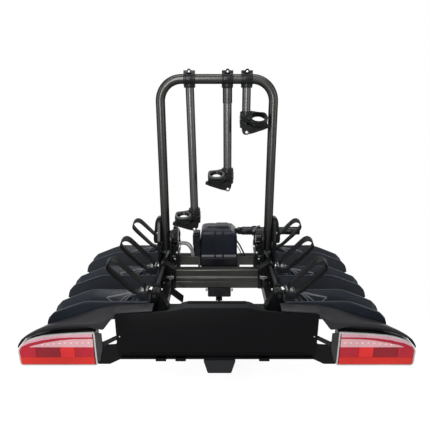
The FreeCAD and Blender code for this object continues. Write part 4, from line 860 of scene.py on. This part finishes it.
# %% The strap's free end
TAIL_HALF = 17
tail_line = smooth_line([(-186, -143, 156), (-176, -143, 146), (-162, -143, 130),
                         (-121, -143, 96)])
sections = []
for i, here in enumerate(tail_line):
    tall = 2.9 if i % 2 else 2
    sections.append([here + outward(tail_line, i) * up + Vector((0, across, across * 0.2))
                     for across, up in ((-TAIL_HALF, -2), (TAIL_HALF, -2), (TAIL_HALF, tall),
                                        (-TAIL_HALF, tall))])
piece("strap_tail", loft(sections), rubber, "platform", "strap_rubber", edge=0.4)
print("tail length mm:", round(sum((b - a).length for a, b in zip(tail_line, tail_line[1:]))))

# %% [markdown]
# ## Clamp heads
# A head holds a bicycle's frame tube. It is one moulding: a tall band that runs round the frame
# tube's opening and closes on the arm. The band is a loft round the opening. At each angle the
# section reaches out to the hull of two circles, the ring's and the arm sleeve's. A ribbed rubber
# lip lines its mouth. The three heads differ in place, in the side they face and in their lean.

# %% Where the heads are
ARM_X = (-92.5, 35.5, 100.8)
ARM_END_X = (-83.5, 38, 101)
HEAD_TOP = (395, 545, 742)
HEAD_SIDE = (-1, -1, 1)
HEAD_TALL, BOLT_DROP, BAND_DROP = 56, 68, (29, 28, 27)
RING_OUT, RING_BACK, RING_DROP, RING_R, SLEEVE_R = 40, 24, 23, 30.5, 22
RING_LEAN, CAD_LEAN = (12, 20, 32), 30
MOUTH_FAR, MOUTH_NEAR = 27.5, (18, 18, 24)
FOOT_FAR, FOOT_NEAR = (-2, -2, -7), 13
BAND_STEPS = 72


def leaned(bm, i):
    """Lean a shape with its arm, about the arm's place on the top tube."""
    angle = math.atan2(ARM_END_X[i] - ARM_X[i], TOP_TUBE - HEAD_TOP[i])
    bmesh.ops.rotate(bm, verts=bm.verts, cent=(ARM_X[i], 0, TOP_TUBE),
                     matrix=Matrix.Rotation(-angle, 3, "Y"))
    return bm


def hull_reach(turn):
    """How far the band reaches from the ring's centre at an angle from the arm's direction."""
    gap = math.hypot(RING_OUT, RING_BACK * math.cos(math.radians(CAD_LEAN)))
    tilt = math.asin((RING_R - SLEEVE_R) / gap)
    way = Vector((math.cos(turn), math.sin(turn)))
    if way.x <= 0:
        return RING_R
    normal = Vector((math.sin(tilt), math.cos(tilt) * (1 if way.y >= 0 else -1)))
    flat = RING_R / max(0.05, way.dot(normal))
    touch = way * flat
    reach = touch.x * math.cos(tilt) - abs(touch.y) * math.sin(tilt)
    if 0 < reach < gap * math.cos(tilt) and flat >= RING_R:
        return flat
    if way.dot(normal) < 0.9 and reach >= 0:
        near = way.x * gap
        return max(RING_R, near + math.sqrt(max(0, near * near - gap * gap + SLEEVE_R * SLEEVE_R)))
    return RING_R


def lip_profile(mouth, near, step):
    """The ribbed lip's section: (radius, height) points."""
    tall = 0.2 + near * (1.5 if step % 2 else 0)
    wide = 1 + 8 * near
    return ((mouth - 0.6, 4), (mouth - 0.6, 10.4), (mouth + 0.8, 11.4 + tall),
            (mouth + wide, 11.8 + tall), (mouth + wide + 1.2, 11), (mouth + wide, 9),
            (mouth + 1, 4))


def band_profile(mouth, throat, foot, reach, step):
    """The band's section, grooved outside and ribbed at every third step."""
    wave = 0.5 if step % 3 == 0 else 0
    return ((throat, foot), (mouth, 8.6), (mouth + 1, 10.4), (reach - 2.6, 11.4),
            (reach - 0.9, 10.6), (reach, 8.6), (reach - wave, 3.4), (reach - 1.1, 2.6),
            (reach - 1.1, 0.8), (reach - wave, 0), (reach, foot + 3),
            (reach - 1.4, foot + 0.6), (reach - 3.4, foot))


def head_band(i, lip=False):
    """The band round the opening, or the ribbed lip that lines its mouth."""
    side = HEAD_SIDE[i]
    centre = Vector((ARM_X[i] + side * RING_OUT, -RING_BACK, HEAD_TOP[i] - BAND_DROP[i]))
    lean_back = math.radians(RING_LEAN[i])
    axis = Vector((0, -math.sin(lean_back), math.cos(lean_back)))
    level = Vector((0, math.cos(lean_back), math.sin(lean_back)))
    start = math.atan2(RING_BACK * math.cos(lean_back), -side * RING_OUT)
    sections = []
    for step in range(BAND_STEPS):
        turn = math.tau * step / BAND_STEPS
        angle = start + turn
        squared = RING_R / (abs(math.cos(angle)) ** 4 + abs(math.sin(angle)) ** 4) ** 0.25
        reach = max(hull_reach(math.remainder(turn, math.tau)), squared)
        out = Vector((math.cos(angle), 0, 0)) + level * math.sin(angle)
        near = (1 - math.sin(angle)) / 2
        mouth = MOUTH_FAR - near * (MOUTH_FAR - MOUTH_NEAR[i])
        throat = MOUTH_NEAR[i] + 3 - 3 * near
        foot = FOOT_FAR[i] - near * (FOOT_NEAR + FOOT_FAR[i])
        profile = (lip_profile(mouth, near, step) if lip
                   else band_profile(mouth, throat, foot, reach, step))
        sections.append([centre + out * r + axis * h for r, h in profile])
    bm = loft([*sections, sections[0]], caps=False)
    bmesh.ops.remove_doubles(bm, verts=bm.verts, dist=0.02)
    bmesh.ops.recalc_face_normals(bm, faces=bm.faces)
    return bm


print("heads at z", HEAD_TOP)

# %% [markdown]
# A strap lever lies under each band: a ribbed plate with a hook at its end, turning on the head's
# bolt. The head's own moulding adds a grooved sleeve on the arm, a foot and a boss for the bolt.

# %% Latches and sleeves
LATCH_REACH = 79.5
SEAM_RADIUS, SEAM_Z = 21.6, 28.4


def head_latch(i):
    """The strap lever under the band."""
    x, side = ARM_X[i], HEAD_SIDE[i]
    ring_z, bolt_z = HEAD_TOP[i] - RING_DROP, HEAD_TOP[i] - BOLT_DROP
    end = x + side * LATCH_REACH
    under, top = ring_z - 34, ring_z - 21
    body = slab([
        (x - side * 8.5, bolt_z - 6.5), (x + side * 12, bolt_z - 6.5),
        (end - side * 12, under + 0.5), (end - side * 3, under + 6), (end - side * 4, top),
        (x - side * 8.5, top)], -40.8, -22.8, (7, 12, 6, 3, 3, 2))
    hook = slab([(end - side * 13, under + 3), (end - side * 1, under + 5), (end, under + 9),
                 (end - side * 2, under + 15), (end - side * 9, under + 17),
                 (end - side * 15, under + 13)], -43, -26, 2.5)
    ribs = [slab([(x + side * 13, bolt_z - 5.5 + low), (end - side * 14, under + 1.5 + low),
                  (end - side * 14, under + 1.5 + high), (x + side * 13, bolt_z - 5.5 + high)],
                 -42.3, -40) for low, high in ((1, 4.2), (9.5, 11.5), (15, 17))]
    return join(body, hook, *ribs)


def head_core(i):
    """The sleeve on the arm with its seam, the foot below it, and the bolt's boss and shank."""
    x, top, bolt_z = ARM_X[i], HEAD_TOP[i], HEAD_TOP[i] - BOLT_DROP
    low = top - HEAD_TALL
    sleeve = lathe(((15, low), (20, low), (21.4, low + 1.6), (21.4, low + 14), (22.6, low + 15.2),
                    (22.6, low + 27), (21.9, low + 27.8), (21.9, low + 29), (22.6, low + 29.8),
                    (22.6, low + 41), (21.4, low + 42.2), (21.4, top - 2.4), (19.6, top),
                    (14.7, top), (14.7, top - 6), (15, low)), (x, 0, 0), UP, 40)
    foot = slab([(x - 16, low + 5), (x + 16, low + 5), (x + 11, bolt_z - 11),
                 (x - 11, bolt_z - 11)], -11, 10, (0, 0, 9, 9))
    seam = slab(box(x - 1.4, x + 1.4, low + 4, top - 3), -23.4, -18)
    boss = lathe(((0, 0), (8, 0), (8, 14), (0, 14)), (x, -22, bolt_z), (0, 1, 0), 28)
    shank = lathe(((0, 0), (5, 0), (5, 30), (0, 30)), (x, -43, bolt_z), (0, 1, 0), 24)
    return join(sleeve, foot, seam, boss, shank)


def seam_studs(i):
    """Five small studs round the front of the sleeve's seam."""
    studs = []
    for turn in (-50, -25, 0, 25, 50):
        way = (math.sin(math.radians(turn)), -math.cos(math.radians(turn)))
        place = (ARM_X[i] + SEAM_RADIUS * way[0], SEAM_RADIUS * way[1],
                 HEAD_TOP[i] - HEAD_TALL + SEAM_Z)
        studs.append(lathe(((0, 0), (1.7, 0), (1.4, 1), (0, 1.4)), place, (*way, 0), 10))
    return join(*studs)


print("latch reach mm:", LATCH_REACH)

# %% [markdown]
# Each head is made in its own place and leaned with its arm. Its washer and its bright bolt lie
# in front of the boss.

# %% Heads, lips and bolts
LIP_FINISHES = (lip_rubber, lip_rubber, rubber)
WASHER = ((0, 0), (8.4, 0), (8.4, 1.4), (7.6, 2), (0, 2))
BOLT_CAP = ((0, 0), (5.6, 0), (5.6, 1.4), (5, 2.8), (3.4, 3.9), (1.6, 4.4), (0, 4.5))
for i, x in enumerate(ARM_X):
    number, arm, bolt_z = i + 1, f"arm_{i + 1}", HEAD_TOP[i] - BOLT_DROP
    piece(f"clamp_head_{number}", leaned(join(head_band(i), head_core(i)), i), glossy, arm,
          "cast_black", [f"arm_head_{number}"], edge=0.5, angle=38)
    piece(f"head_lip_{number}", leaned(head_band(i, lip=True), i), LIP_FINISHES[i], arm,
          "strap_rubber", angle=30)
    piece(f"head_latch_{number}", leaned(head_latch(i), i), latch_black, f"arm_latch_{number}",
          "cast_black", [f"arm_latch_{number}"], edge=0.8)
    piece(f"head_seam_studs_{number}", leaned(seam_studs(i), i), zinc_dull, arm, "cast_black")
    washer = lathe(WASHER, (x, -42.6, bolt_z), BACK, 32)
    piece(f"head_washer_{number}", leaned(washer, i), glossy, arm, "cast_black")
    cap = lathe(BOLT_CAP, (x, -44.4, bolt_z), BACK, 32)
    piece(f"head_bolt_{number}", leaned(cap, i), zinc, arm, "zinc_steel", angle=50)
print("heads:", len(ARM_X))

# %% [markdown]
# ## Clamps on the top tube
# Each arm hangs from a split clamp. A collar at each side hugs the tube, a bridge joins its two
# ears, and a bright bolt closes them. The middle arm also has a sleeve below its clamp.

# %% Clamp bolts and collars
CLAMP_CAP = ((0, 0), (3.8, 0), (3.8, 1.6), (3.2, 2.8), (1.8, 3.4), (0, 3.6))
COLLAR = ((16.4, 0), (23.6, 0), (24.2, 0.8), (24.2, 3.6), (23.6, 4.4), (16.4, 4.4))
for number, x in enumerate(ARM_X, 1):
    piece(f"clamp_bolt_{number}", lathe(CLAMP_CAP, (x, -17.4, TOP_TUBE + 22.5), BACK, 32), zinc,
          f"arm_clamp_{number}", "zinc_steel", angle=50)
    rims = [lathe(COLLAR, (x + off - 2.2, 0, TOP_TUBE), RIGHT, 48) for off in (-14.4, 14.4)]
    bridge = slab(box(x - 11, x + 9, TOP_TUBE + 19, TOP_TUBE + 25), -17.6, -6, 1)
    piece(f"clamp_collars_{number}", join(*rims, bridge), glossy, f"arm_clamp_{number}",
          "cast_black")
sleeve = lathe(((14.2, 0), (16.2, 0), (16.2, 53), (15.8, 54), (14.2, 54)), (35.6, 0, 769), UP, 40)
piece("arm_2_sleeve", leaned(sleeve, 1), frame_paint, "arm_2", "arm_paint")
print("clamps dressed:", len(ARM_X))

# %% [markdown]
# ## The coupling's cover
# The cover is one moulding over the coupling: a loft of rounded rectangles, from its skirt up to
# its crest. A cut slopes its right shoulder. Its rear face carries three panels with two deep
# grooves between them, and the left panel is finely ribbed. A light ledge runs below the panels,
# and a dark apron hides the hinge under them.

# %% Cover shell, panels and apron
COVER_MIDDLE = 8
COVER_RINGS = (
    (164, 74.5, 75, 232, 10), (166, 74.5, 75, 232, 10), (235, 74.2, 75, 224, 12),
    (252, 73.4, 75, 212, 13), (262, 71.8, 76, 202, 14), (269, 69, 78, 192, 14),
    (274, 65, 81, 184, 14), (277, 60.5, 85, 178, 13), (278.5, 56, 90, 172, 12),
    (279, 52, 95, 168, 11))
PANEL = [(75.5, 176), (72, 177), (72, 262), (72.8, 268), (75.5, 273.5), (80, 277.6),
         (86, 279.6), (96, 280.2), (96, 277), (84, 276), (77, 268), (75.8, 262)]
GROOVE = [(74.4, 178), (73.6, 178), (73.6, 262), (76.2, 271), (79, 274.5), (80.5, 273.6),
          (77.4, 270.4), (74.8, 262)]
RIB = [(72.4, 182), (71, 184), (71, 256), (72.4, 262)]
LEDGE = [(76, 166), (69.5, 166), (69.5, 171), (72, 176), (76, 177)]
CORNER_STEPS = 5


def rounded_box(half, y0, y1, z, radius):
    """A rounded rectangle in a level plane, about the cover's middle."""
    x0, x1 = COVER_MIDDLE - half, COVER_MIDDLE + half
    ring = []
    for cx, cy, first in ((x1 - radius, y1 - radius, 0), (x0 + radius, y1 - radius, 90),
                          (x0 + radius, y0 + radius, 180), (x1 - radius, y0 + radius, 270)):
        for step in range(CORNER_STEPS + 1):
            angle = math.radians(first + 90 * step / CORNER_STEPS)
            ring.append(Vector((cx + radius * math.cos(angle), cy + radius * math.sin(angle), z)))
    return ring


def shoulder_cut(bm):
    """Slope the cover's right shoulder away from its crest."""
    bmesh.ops.bisect_plane(bm, geom=bm.verts[:] + bm.edges[:] + bm.faces[:],
                           plane_co=(58, 0, 279), plane_no=(0.8, 0, 0.6), clear_outer=True)
    bmesh.ops.holes_fill(bm, edges=bm.edges[:])
    bmesh.ops.recalc_face_normals(bm, faces=bm.faces)
    return bm


def bars(outline, *spans):
    """One outline extruded along x over several spans."""
    return join(*[bar(outline, x0, x1) for x0, x1 in spans])


def cover_piece(name, bm, material, replaces=(), **looks):
    """A piece of the cover."""
    piece(name, bm, material, "coupling", "cover_plastic", replaces, **looks)


shell = loft([rounded_box(half, y0, y1, z, radius) for z, half, y0, y1, radius in COVER_RINGS])
cover_piece("cover_shell", shoulder_cut(shell), cover_plastic, ["coupling_cover"], angle=40)
# The grooves' floors are near-black bars: painted shade in the deep grooves.
cover_piece("cover_groove_shade", bars(GROOVE, (-10.6, -4.4), (21.4, 28.1)), painted_shade_black)
cover_piece("cover_panels", shoulder_cut(bars(PANEL, (-59, -10.5), (-4.5, 21.5), (28, 72))),
            cover_plastic, edge=2.2, angle=40, segments=3)
rib_starts = [-56 + 4.3 * number for number in range(11)]
cover_piece("cover_ribs", bars(RIB, *[(x, x + 1.6) for x in rib_starts]), cover_plastic, edge=0.5)
cover_piece("cover_ledge", bars(LEDGE, (-62, -10.5), (-4.5, 21.5), (28, 79)), ledge_plastic,
            edge=1, segments=3)
apron = slab([(-63, 128), (86, 128), (88, 132), (88, 163), (86, 166), (-63, 166), (-65, 163),
              (-65, 132)], 60, 71.6)
piece("hinge_apron", apron, apron_black, "coupling", "cast_black", edge=1.5)
print("cover rings:", len(COVER_RINGS))

# %% [markdown]
# A hood with a hand slot stands on top of the cover. A ramp leads up to it from the panels.

# %% Hood and slot
hood = slab([(-44, 279), (-36, 285.4), (-4, 285.4), (0, 288), (44, 288), (52, 282), (60, 270),
             (56, 262), (-52, 262), (-56, 268)], 112, 156)
cover_piece("cover_hood", hood, hood_plastic, edge=2, segments=3)
ramp = bar([(96, 276), (112, 282), (114, 282), (114, 262), (96, 262)], -46, 52)
cover_piece("cover_ramp", ramp, cover_plastic, edge=1.2)
# The hand slot is a near-black plate: painted shade in the slot's opening.
slot = slab([(-39, 280.8), (-35, 283.6), (-6, 283.6), (-2, 280.8)], 110.9, 116)
cover_piece("cover_slot_shade", slot, painted_shade_black, edge=0.3)
brow = bar([(100, 277), (104, 281), (107, 281), (108, 276)], -46, 6)
cover_piece("cover_brow", brow, hood_plastic, edge=0.8)
print("hood pieces:", 4)

# %% [markdown]
# The plug's parking holder stands on the cover's left. Its upper half is knurled with small
# square studs and its lower half is a black pocket for the plug.

# %% Plug holder
holder = slab([(-97, 214), (-67, 206), (-67, 272), (-91, 272), (-97, 262)], 74, 109,
              (6, 3, 3, 8, 6))
body = slab(box(-95, -67, 169.2, 216), 76, 108, 3)
piece("plug_block", join(holder, body), moulded, "platform", "black_plastic", ["plug_holder"],
      edge=1.2)
STUD, STUD_PITCH_X, STUD_PITCH_Z = 3.6, 5.4, 6.2
studs = []
for row in range(4):
    for column in range(5):
        x, z = -93 + STUD_PITCH_X * column, 243.5 + STUD_PITCH_Z * row
        studs.append(slab(box(x, x + STUD, z, z + STUD), 72.4, 75))
piece("plug_knurl", join(*studs), hood_plastic, "platform", "black_plastic", edge=0.8)
pocket = slab([(-95, 213), (-70, 207), (-70, 240), (-76, 240), (-95, 224)], 66, 75, 2)
plug = lathe(((0, 0), (9, 0), (9, 7), (7.6, 8.5), (0, 8.5)), (-82.5, 74, 257), BACK, 28)
piece("plug_pocket", join(pocket, plug), apron_black, "platform", "black_plastic", edge=0.8)
print("plug studs:", len(studs))

# %% [markdown]
# ## Bracket dressing
# The upright stands between cast cheeks. On their outer side a broad fin rises to a point, and on
# their inner side a deep block carries the lock knob, the leads' clamp and bright bolts. A bolt
# with a T-shaped head holds each side rail on the middle crossbar.

# %% Cheeks and bolts
fin = slab([(208.8, 262), (208.8, 362), (216, 361.4), (225, 357), (230.5, 342), (233, 318),
            (238, 296), (240, 270), (236, 258)], -10, 15, (2, 6, 3, 4, 6, 6, 6, 8, 4))
rear_block = slab([
    (143, 214), (141, 246), (144, 262), (141, 282), (146, 300), (158, 311), (168, 312), (168, 180),
    (150, 180)], 29, 46, (5, 8, 6, 8, 10, 8, 2, 2, 5))
knob_block = slab([
    (146, 182), (144, 216), (148, 250), (168, 253), (168, 182)], -13, 12, (5, 6, 8, 2, 2))
caps = join(
    lathe(((0, 0), (7, 0), (7, 3), (5.4, 5.4), (0, 6)), (144, 4, 240), (-1, 0, 0), 24),
    lathe(((0, 0), (5, 0), (5, 3), (3.6, 4.6), (0, 5)), (152, -13.2, 222), BACK, 24),
    lathe(((0, 0), (4.6, 0), (4.6, 2.4), (3.4, 3.8), (0, 4)), (161, -13.2, 196), BACK, 24),
    lathe(((0, 0), (5.2, 0), (5.2, 2.4), (3.8, 3.8), (0, 4)), (222, -10.2, 300), BACK, 24))
RAIL = 162
TEE_FACE = -114.2
tee = slab([
    (RAIL - 7, 162.5), (RAIL + 1, 162.5), (RAIL + 3, 156.5), (RAIL + 9, 156.5), (RAIL + 11, 162.5),
    (RAIL + 19, 162.5), (RAIL + 19, 172.5), (RAIL - 7, 172.5)], TEE_FACE - 1.2, TEE_FACE)
cheeks = join(fin, rear_block, knob_block)
for hand in ("left", "right"):
    one_hand(hand, "bracket_cheeks_{}", cheeks, glossy, "", "platform", "cast_black", edge=1.6,
             segments=3)
    one_hand(hand, "bracket_bolts_{}", caps, zinc_dull, "", "platform", "zinc_steel", angle=50)
    one_hand(hand, "tee_bolt_{}", tee, zinc_dull, "", "platform", "zinc_steel", edge=0.5)
print("bracket pieces:", 6)

# %% [markdown]
# The main beam ends in a black block with a well in its face and a clip at each side. The
# coupling's lever has a sleeve where it leaves the cover.

# %% The beam's end and the lever's sleeve
block = slab([(-33.5, 117), (-33.5, 86), (-30, 82.8), (48, 82.8), (51.5, 86), (51.5, 117)],
             -103, -98.8)
well = slab(box(-22, 40, 90, 112), -104.2, -102.8, 5)
piece("beam_end_block", join(block, well), apron_black, "platform", "black_plastic", edge=1)
clips = [slab([(x - 4, 116), (x + 4, 116), (x + 3, 106), (x - 3, 106)], -104, -99.4)
         for x in (-38, 56)]
piece("beam_end_clips", join(*clips), zinc_dull, "platform", "zinc_steel", edge=0.8)
sleeve = lathe(((15.6, 0), (17.4, 1), (17.4, 42), (17, 43), (15.6, 43)), (106, 172, 245), RIGHT,
               40)
piece("lever_sleeve", sleeve, lever_paint, "clamp_lever", "cast_black")
print("end pieces:", 3)

# %% [markdown]
# ## Leads
# Two grey leads leave the left bracket, arch over and drop beside the plug block into the front
# crossbar. A black one and a thinner one come out of the cover's right side. Each is a smooth
# curve with a round bevel.

# %% Leads


def lead(name, points, radius, material, body, replaces=()):
    """A round lead along a smooth line through the working frame."""
    curve = rounded_line(name, [at(*place) for place in points], 10)
    curve.bevel_depth = radius / 1000
    curve.bevel_resolution = 5
    curve.use_fill_caps = True
    curve.materials.append(material)
    thing = bpy.data.objects.new(name, curve)
    scene.collection.objects.link(thing)
    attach(thing, body)
    if replaces:
        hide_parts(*replaces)


lead("lead_upper", [(-170, 16, 244), (-152, 18, 250), (-130, 24, 252), (-113, 36, 243),
                    (-101, 48, 226), (-96, 58, 203), (-94, 64, 182), (-94, 76, 168)],
     3.7, lead_grey, "platform", ["leads"])
lead("lead_lower", [(-170, 17, 235), (-152, 19, 240), (-132, 26, 243), (-117, 38, 234),
                    (-107, 50, 217), (-102, 59, 198), (-100.5, 65, 180), (-100.5, 77, 168)],
     3.7, lead_grey, "platform")
lead("lead_black", [(78, 82, 236), (88, 76, 226), (99, 72, 204), (110, 74, 182),
                    (112, 80, 169.5)], 3, rubber, "coupling")
lead("lead_black_thin", [(78, 84, 216), (86, 78, 208), (93, 74, 194), (100, 75, 180),
                         (101, 80, 169.5)], 1.8, rubber, "coupling")
print("leads:", 4)

# %% [markdown]
# ## Number board
# The board is a thin sheet. Its crest is folded back a little along a line, so it catches the
# light from above, and its face above the fold also has a paler finish: a painted highlight.
# It is lofted from end to end through the height of its lower edge, fold and crest. A lip with
# three clips runs along its foot, and a ledge for the plate above that.

# %% The board
CREST = ((-301.6, 170), (-300.6, 174.5), (-297, 178.6), (-250, 181.6), (-200, 184.8),
         (-158, 187.6), (-150, 189.4), (-139, 194), (-130, 198), (-119, 203.5), (-108, 209),
         (-100, 212.6), (-93, 215), (-84, 216), (0, 216))
FOLD = ((-301.6, 169.5), (-300.6, 174), (-297, 178), (-250, 181), (-200, 184.3), (-158, 187.1),
        (-150, 188.2), (-139, 189.6), (-130, 191), (-119, 193), (-108, 195.5), (-100, 197.6),
        (-93, 199), (-84, 200), (0, 200))
FOOT = ((-301.6, 36), (-300.6, 31.5), (-297, 29), (0, 29))
BOARD_THICK = 4.2


def board_section(x):
    """The board's section: up its face, over the folded crest and down its back."""
    crest, fold, foot = (along(curve, -abs(x)) for curve in (CREST, FOLD, FOOT))
    back = (crest - fold) * 0.55
    return square_to_x(x, [(BOARD_FACE + y, z) for y, z in (
        (1, foot), (0, foot + 1), (0, fold - 0.6), (0.3, fold), (back + 0.2, crest - 0.6),
        (back + 1.4, crest), (back + 3.6, crest - 0.8), (BOARD_THICK, fold - 1.2),
        (BOARD_THICK, foot + 1), (3.4, foot))])


stations = [x for x, z in CREST] + [-x for x, z in CREST[-2::-1]]
board = loft([board_section(x) for x in stations])
# Faces above the fold take the paler crest finish: a painted highlight.
for side in board.faces:
    middle = side.calc_center_median()
    if middle.z > along(FOLD, -abs(middle.x)) - 0.2 and middle.y < BOARD_FACE + 12:
        side.material_index = 1
lip = bar([(-386.6, 29), (-386.6, 32), (-385.6, 33), (-378, 33), (-378, 29)], -292, 292)
clips = [slab(box(x - 16, x + 16, 22, 33), -387.3, -374, 2) for x in (-170, -110, 144)]
cap = bar(box(-372.5, -364.5, 211, 215.4), -86, 86)
plate_ledge = bar([(-380.2, 44), (-380.2, 45.4), (-378.2, 46), (-378.2, 43.4)], -268, 268)
piece("board_sheet", join(board, lip, *clips, cap, plate_ledge), (board_black, board_crest_painted_highlight),
      "platform", "board_plastic", ["number_board"], edge=0.6, angle=30)
screws = [lathe(((0, 0), (2.4, 0), (2.4, 1.2), (1.6, 2), (0, 2.2)), (x, BOARD_FACE + 0.2, 103),
                BACK, 20) for x in (-291.5, 291.5)]
piece("board_screws", join(*screws), zinc_dull, "platform", "zinc_steel")
print("board stations:", len(stations))

# %% [markdown]
# ## Buckles
# Every strap leaves a ratchet on its tray. The ratchet has a pale pressed-steel lever between
# black cheeks.

# %% Ratchet levers
for row, row_y in ROWS.items():
    pawl = slab([(214, 219.5), (236, 214.5), (236, 217), (214, 222)], row_y - 11, row_y + 11)
    ridge = slab([(215, 221), (219, 220), (219, 223.4), (215, 224.4)], row_y - 10, row_y + 10)
    both(f"ratchet_{row}_{{}}", join(pawl, ridge), zinc_dull, edge=0.5)
print("ratchets:", 6)

# %% [markdown]
# ## Floor
# A car carries its towball about 420 mm above the road, so the floor lies there, and the platform
# has room to tilt. It is a pale disc that fades out around the carrier, so that only the soft
# shadow under it shows.

# %% The floor
BALL_HEIGHT = 0.42
FADE_START, FADE_END = 0.7, 1.25
FLOOR_GLOW = 0.8
floor_level = min(-BALL_HEIGHT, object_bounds()[0][2] - 0.001)
bpy.ops.mesh.primitive_circle_add(vertices=96, radius=2.4, fill_type="NGON",
                                  location=(0, -0.15, floor_level))
floor = bpy.context.object
floor.name = "floor"
paint = finish("floor_pale", (0.3, 0.3, 0.3), 0.8, 0, 40, 0.02, 0.01, sheen=0)
tree = paint.node_tree
shader = tree.nodes["Principled BSDF"]
rays = any_ray(tree, "Is Camera Ray", "Is Glossy Ray")
glow = node(tree, "Math", {0: rays, 1: FLOOR_GLOW}, operation="MULTIPLY")
feed(tree, shader, {"Emission Color": WHITE, "Emission Strength": glow.outputs[0]})
where = node(tree, "TexCoord").outputs["Object"]
distance = node(tree, "VectorMath", {0: where}, operation="LENGTH").outputs["Value"]
fade = node(tree, "MapRange", {"Value": distance, "From Min": FADE_START, "From Max": FADE_END})
clear = node(tree, "BsdfTransparent")
blend = node(tree, "MixShader", {0: fade.outputs["Result"], 1: shader.outputs[0],
                                 2: clear.outputs[0]})
feed(tree, tree.nodes["Material Output"], {"Surface": blend.outputs[0]})
floor.data.materials.append(paint)
print("floor at", round(floor_level, 4))
